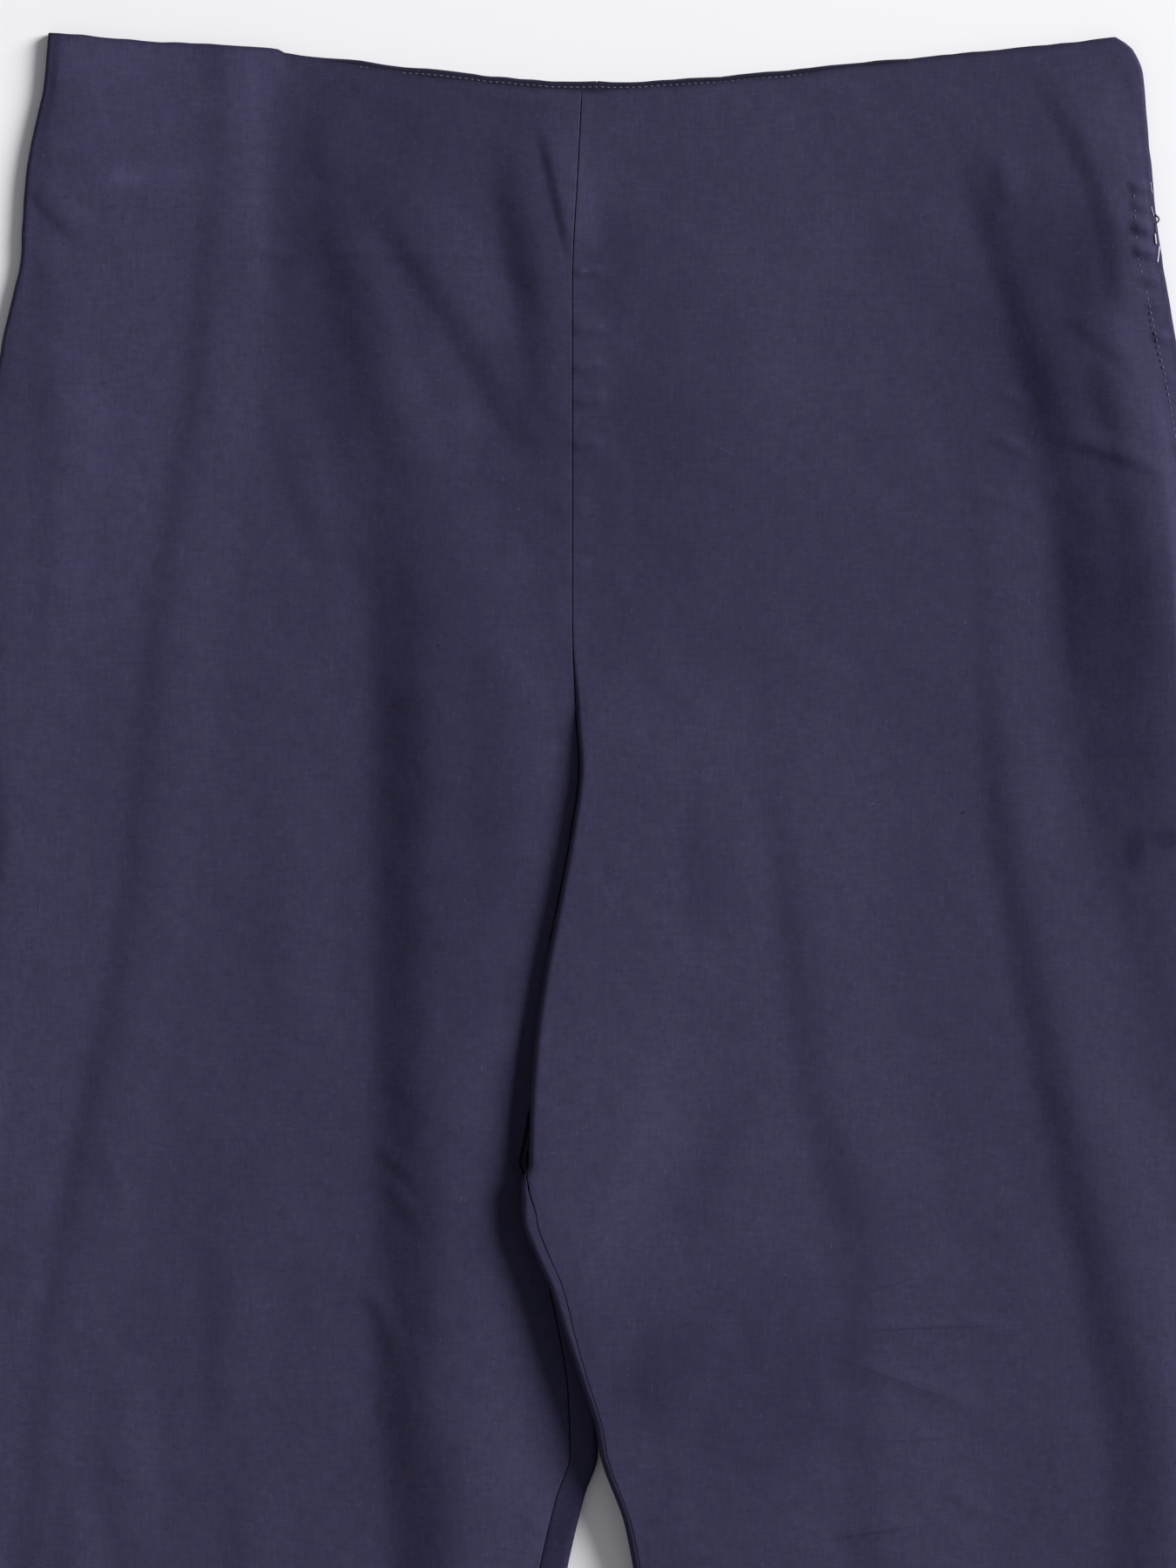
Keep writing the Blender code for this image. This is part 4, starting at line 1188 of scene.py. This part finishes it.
def add_light():
    rise, side = np.radians(KEY_RISE), np.radians(KEY_SIDE)
    way = np.array([np.cos(rise) * np.cos(side), np.cos(rise) * np.sin(side), np.sin(rise)])
    light = bpy.data.lights.new("key", "AREA")
    light.shape = "DISK"
    light.size = KEY_SIZE
    light.energy = KEY_POWER
    key = set_up("key", light)
    key.location = way * KEY_DISTANCE + (0.0, FRAME_CENTRE[1] * MM, 0.0)
    key.rotation_euler = (pi / 2 - rise, 0.0, pi / 2 + side)
    world = bpy.data.worlds.new("studio")
    world.use_nodes = True
    background = world.node_tree.nodes["Background"]
    background.inputs["Color"].default_value = FILL_COLOUR
    background.inputs["Strength"].default_value = FILL_STRENGTH
    bpy.context.scene.world = world


def add_camera():
    """Straight above the cloth, with the waist at the top of the picture."""
    camera = bpy.data.cameras.new("camera")
    camera.sensor_fit = "VERTICAL"
    camera.sensor_height = SENSOR_HEIGHT
    camera.lens = SENSOR_HEIGHT * (CAMERA_HEIGHT - LAY_HEIGHT) / FRAME_HEIGHT
    camera.clip_end = FARTHEST
    eye = set_up("camera", camera)
    eye.location = (FRAME_CENTRE[0] * MM, FRAME_CENTRE[1] * MM, CAMERA_HEIGHT * MM)
    bpy.context.scene.camera = eye
    bpy.context.scene.view_settings.view_transform = "Standard"


def main():
    add_camera()
    add_light()
    add_floor()
    cottons = {
        ("front", "left"): cotton("navy_cotton_left", LEFT_PAINTED_SHADING, tone=1.04),
        ("front", "right"): cotton("navy_cotton_right", RIGHT_PAINTED_SHADING, tone=1.03),
        ("back", "left"): cotton("navy_cotton_left_back", LEFT_BACK_PAINTED_SHADE),
        ("back", "right"): cotton("navy_cotton_back"),
    }
    threads = {name: sewing_thread(name, *look) for name, look in THREADS.items()}

    understitch, closure, hems = add_stitches(threads["navy_thread"])
    loose_ends = add_loose_ends(threads)
    tape, coil = add_zip(zip_finish())
    # The facing is made at half the cloth's tone: painted shade for the strip that lies in shadow under the
    # front's waist edge.
    facing, facing_cut = add_facing(cotton("facing_cotton", tone=0.5))
    for leg in (LEFT_LEG, RIGHT_LEG):
        back, back_cut = add_panel(leg, "back", cottons["back", leg.name])
        front, front_cut = add_panel(leg, "front", cottons["front", leg.name])
        on_front = [hems["front", leg.name]]
        under_front = [back, facing]
        if leg is RIGHT_LEG:
            on_front += [closure, *loose_ends]
            under_front += ["front_left_cloth", "back_left_cloth"]


main()
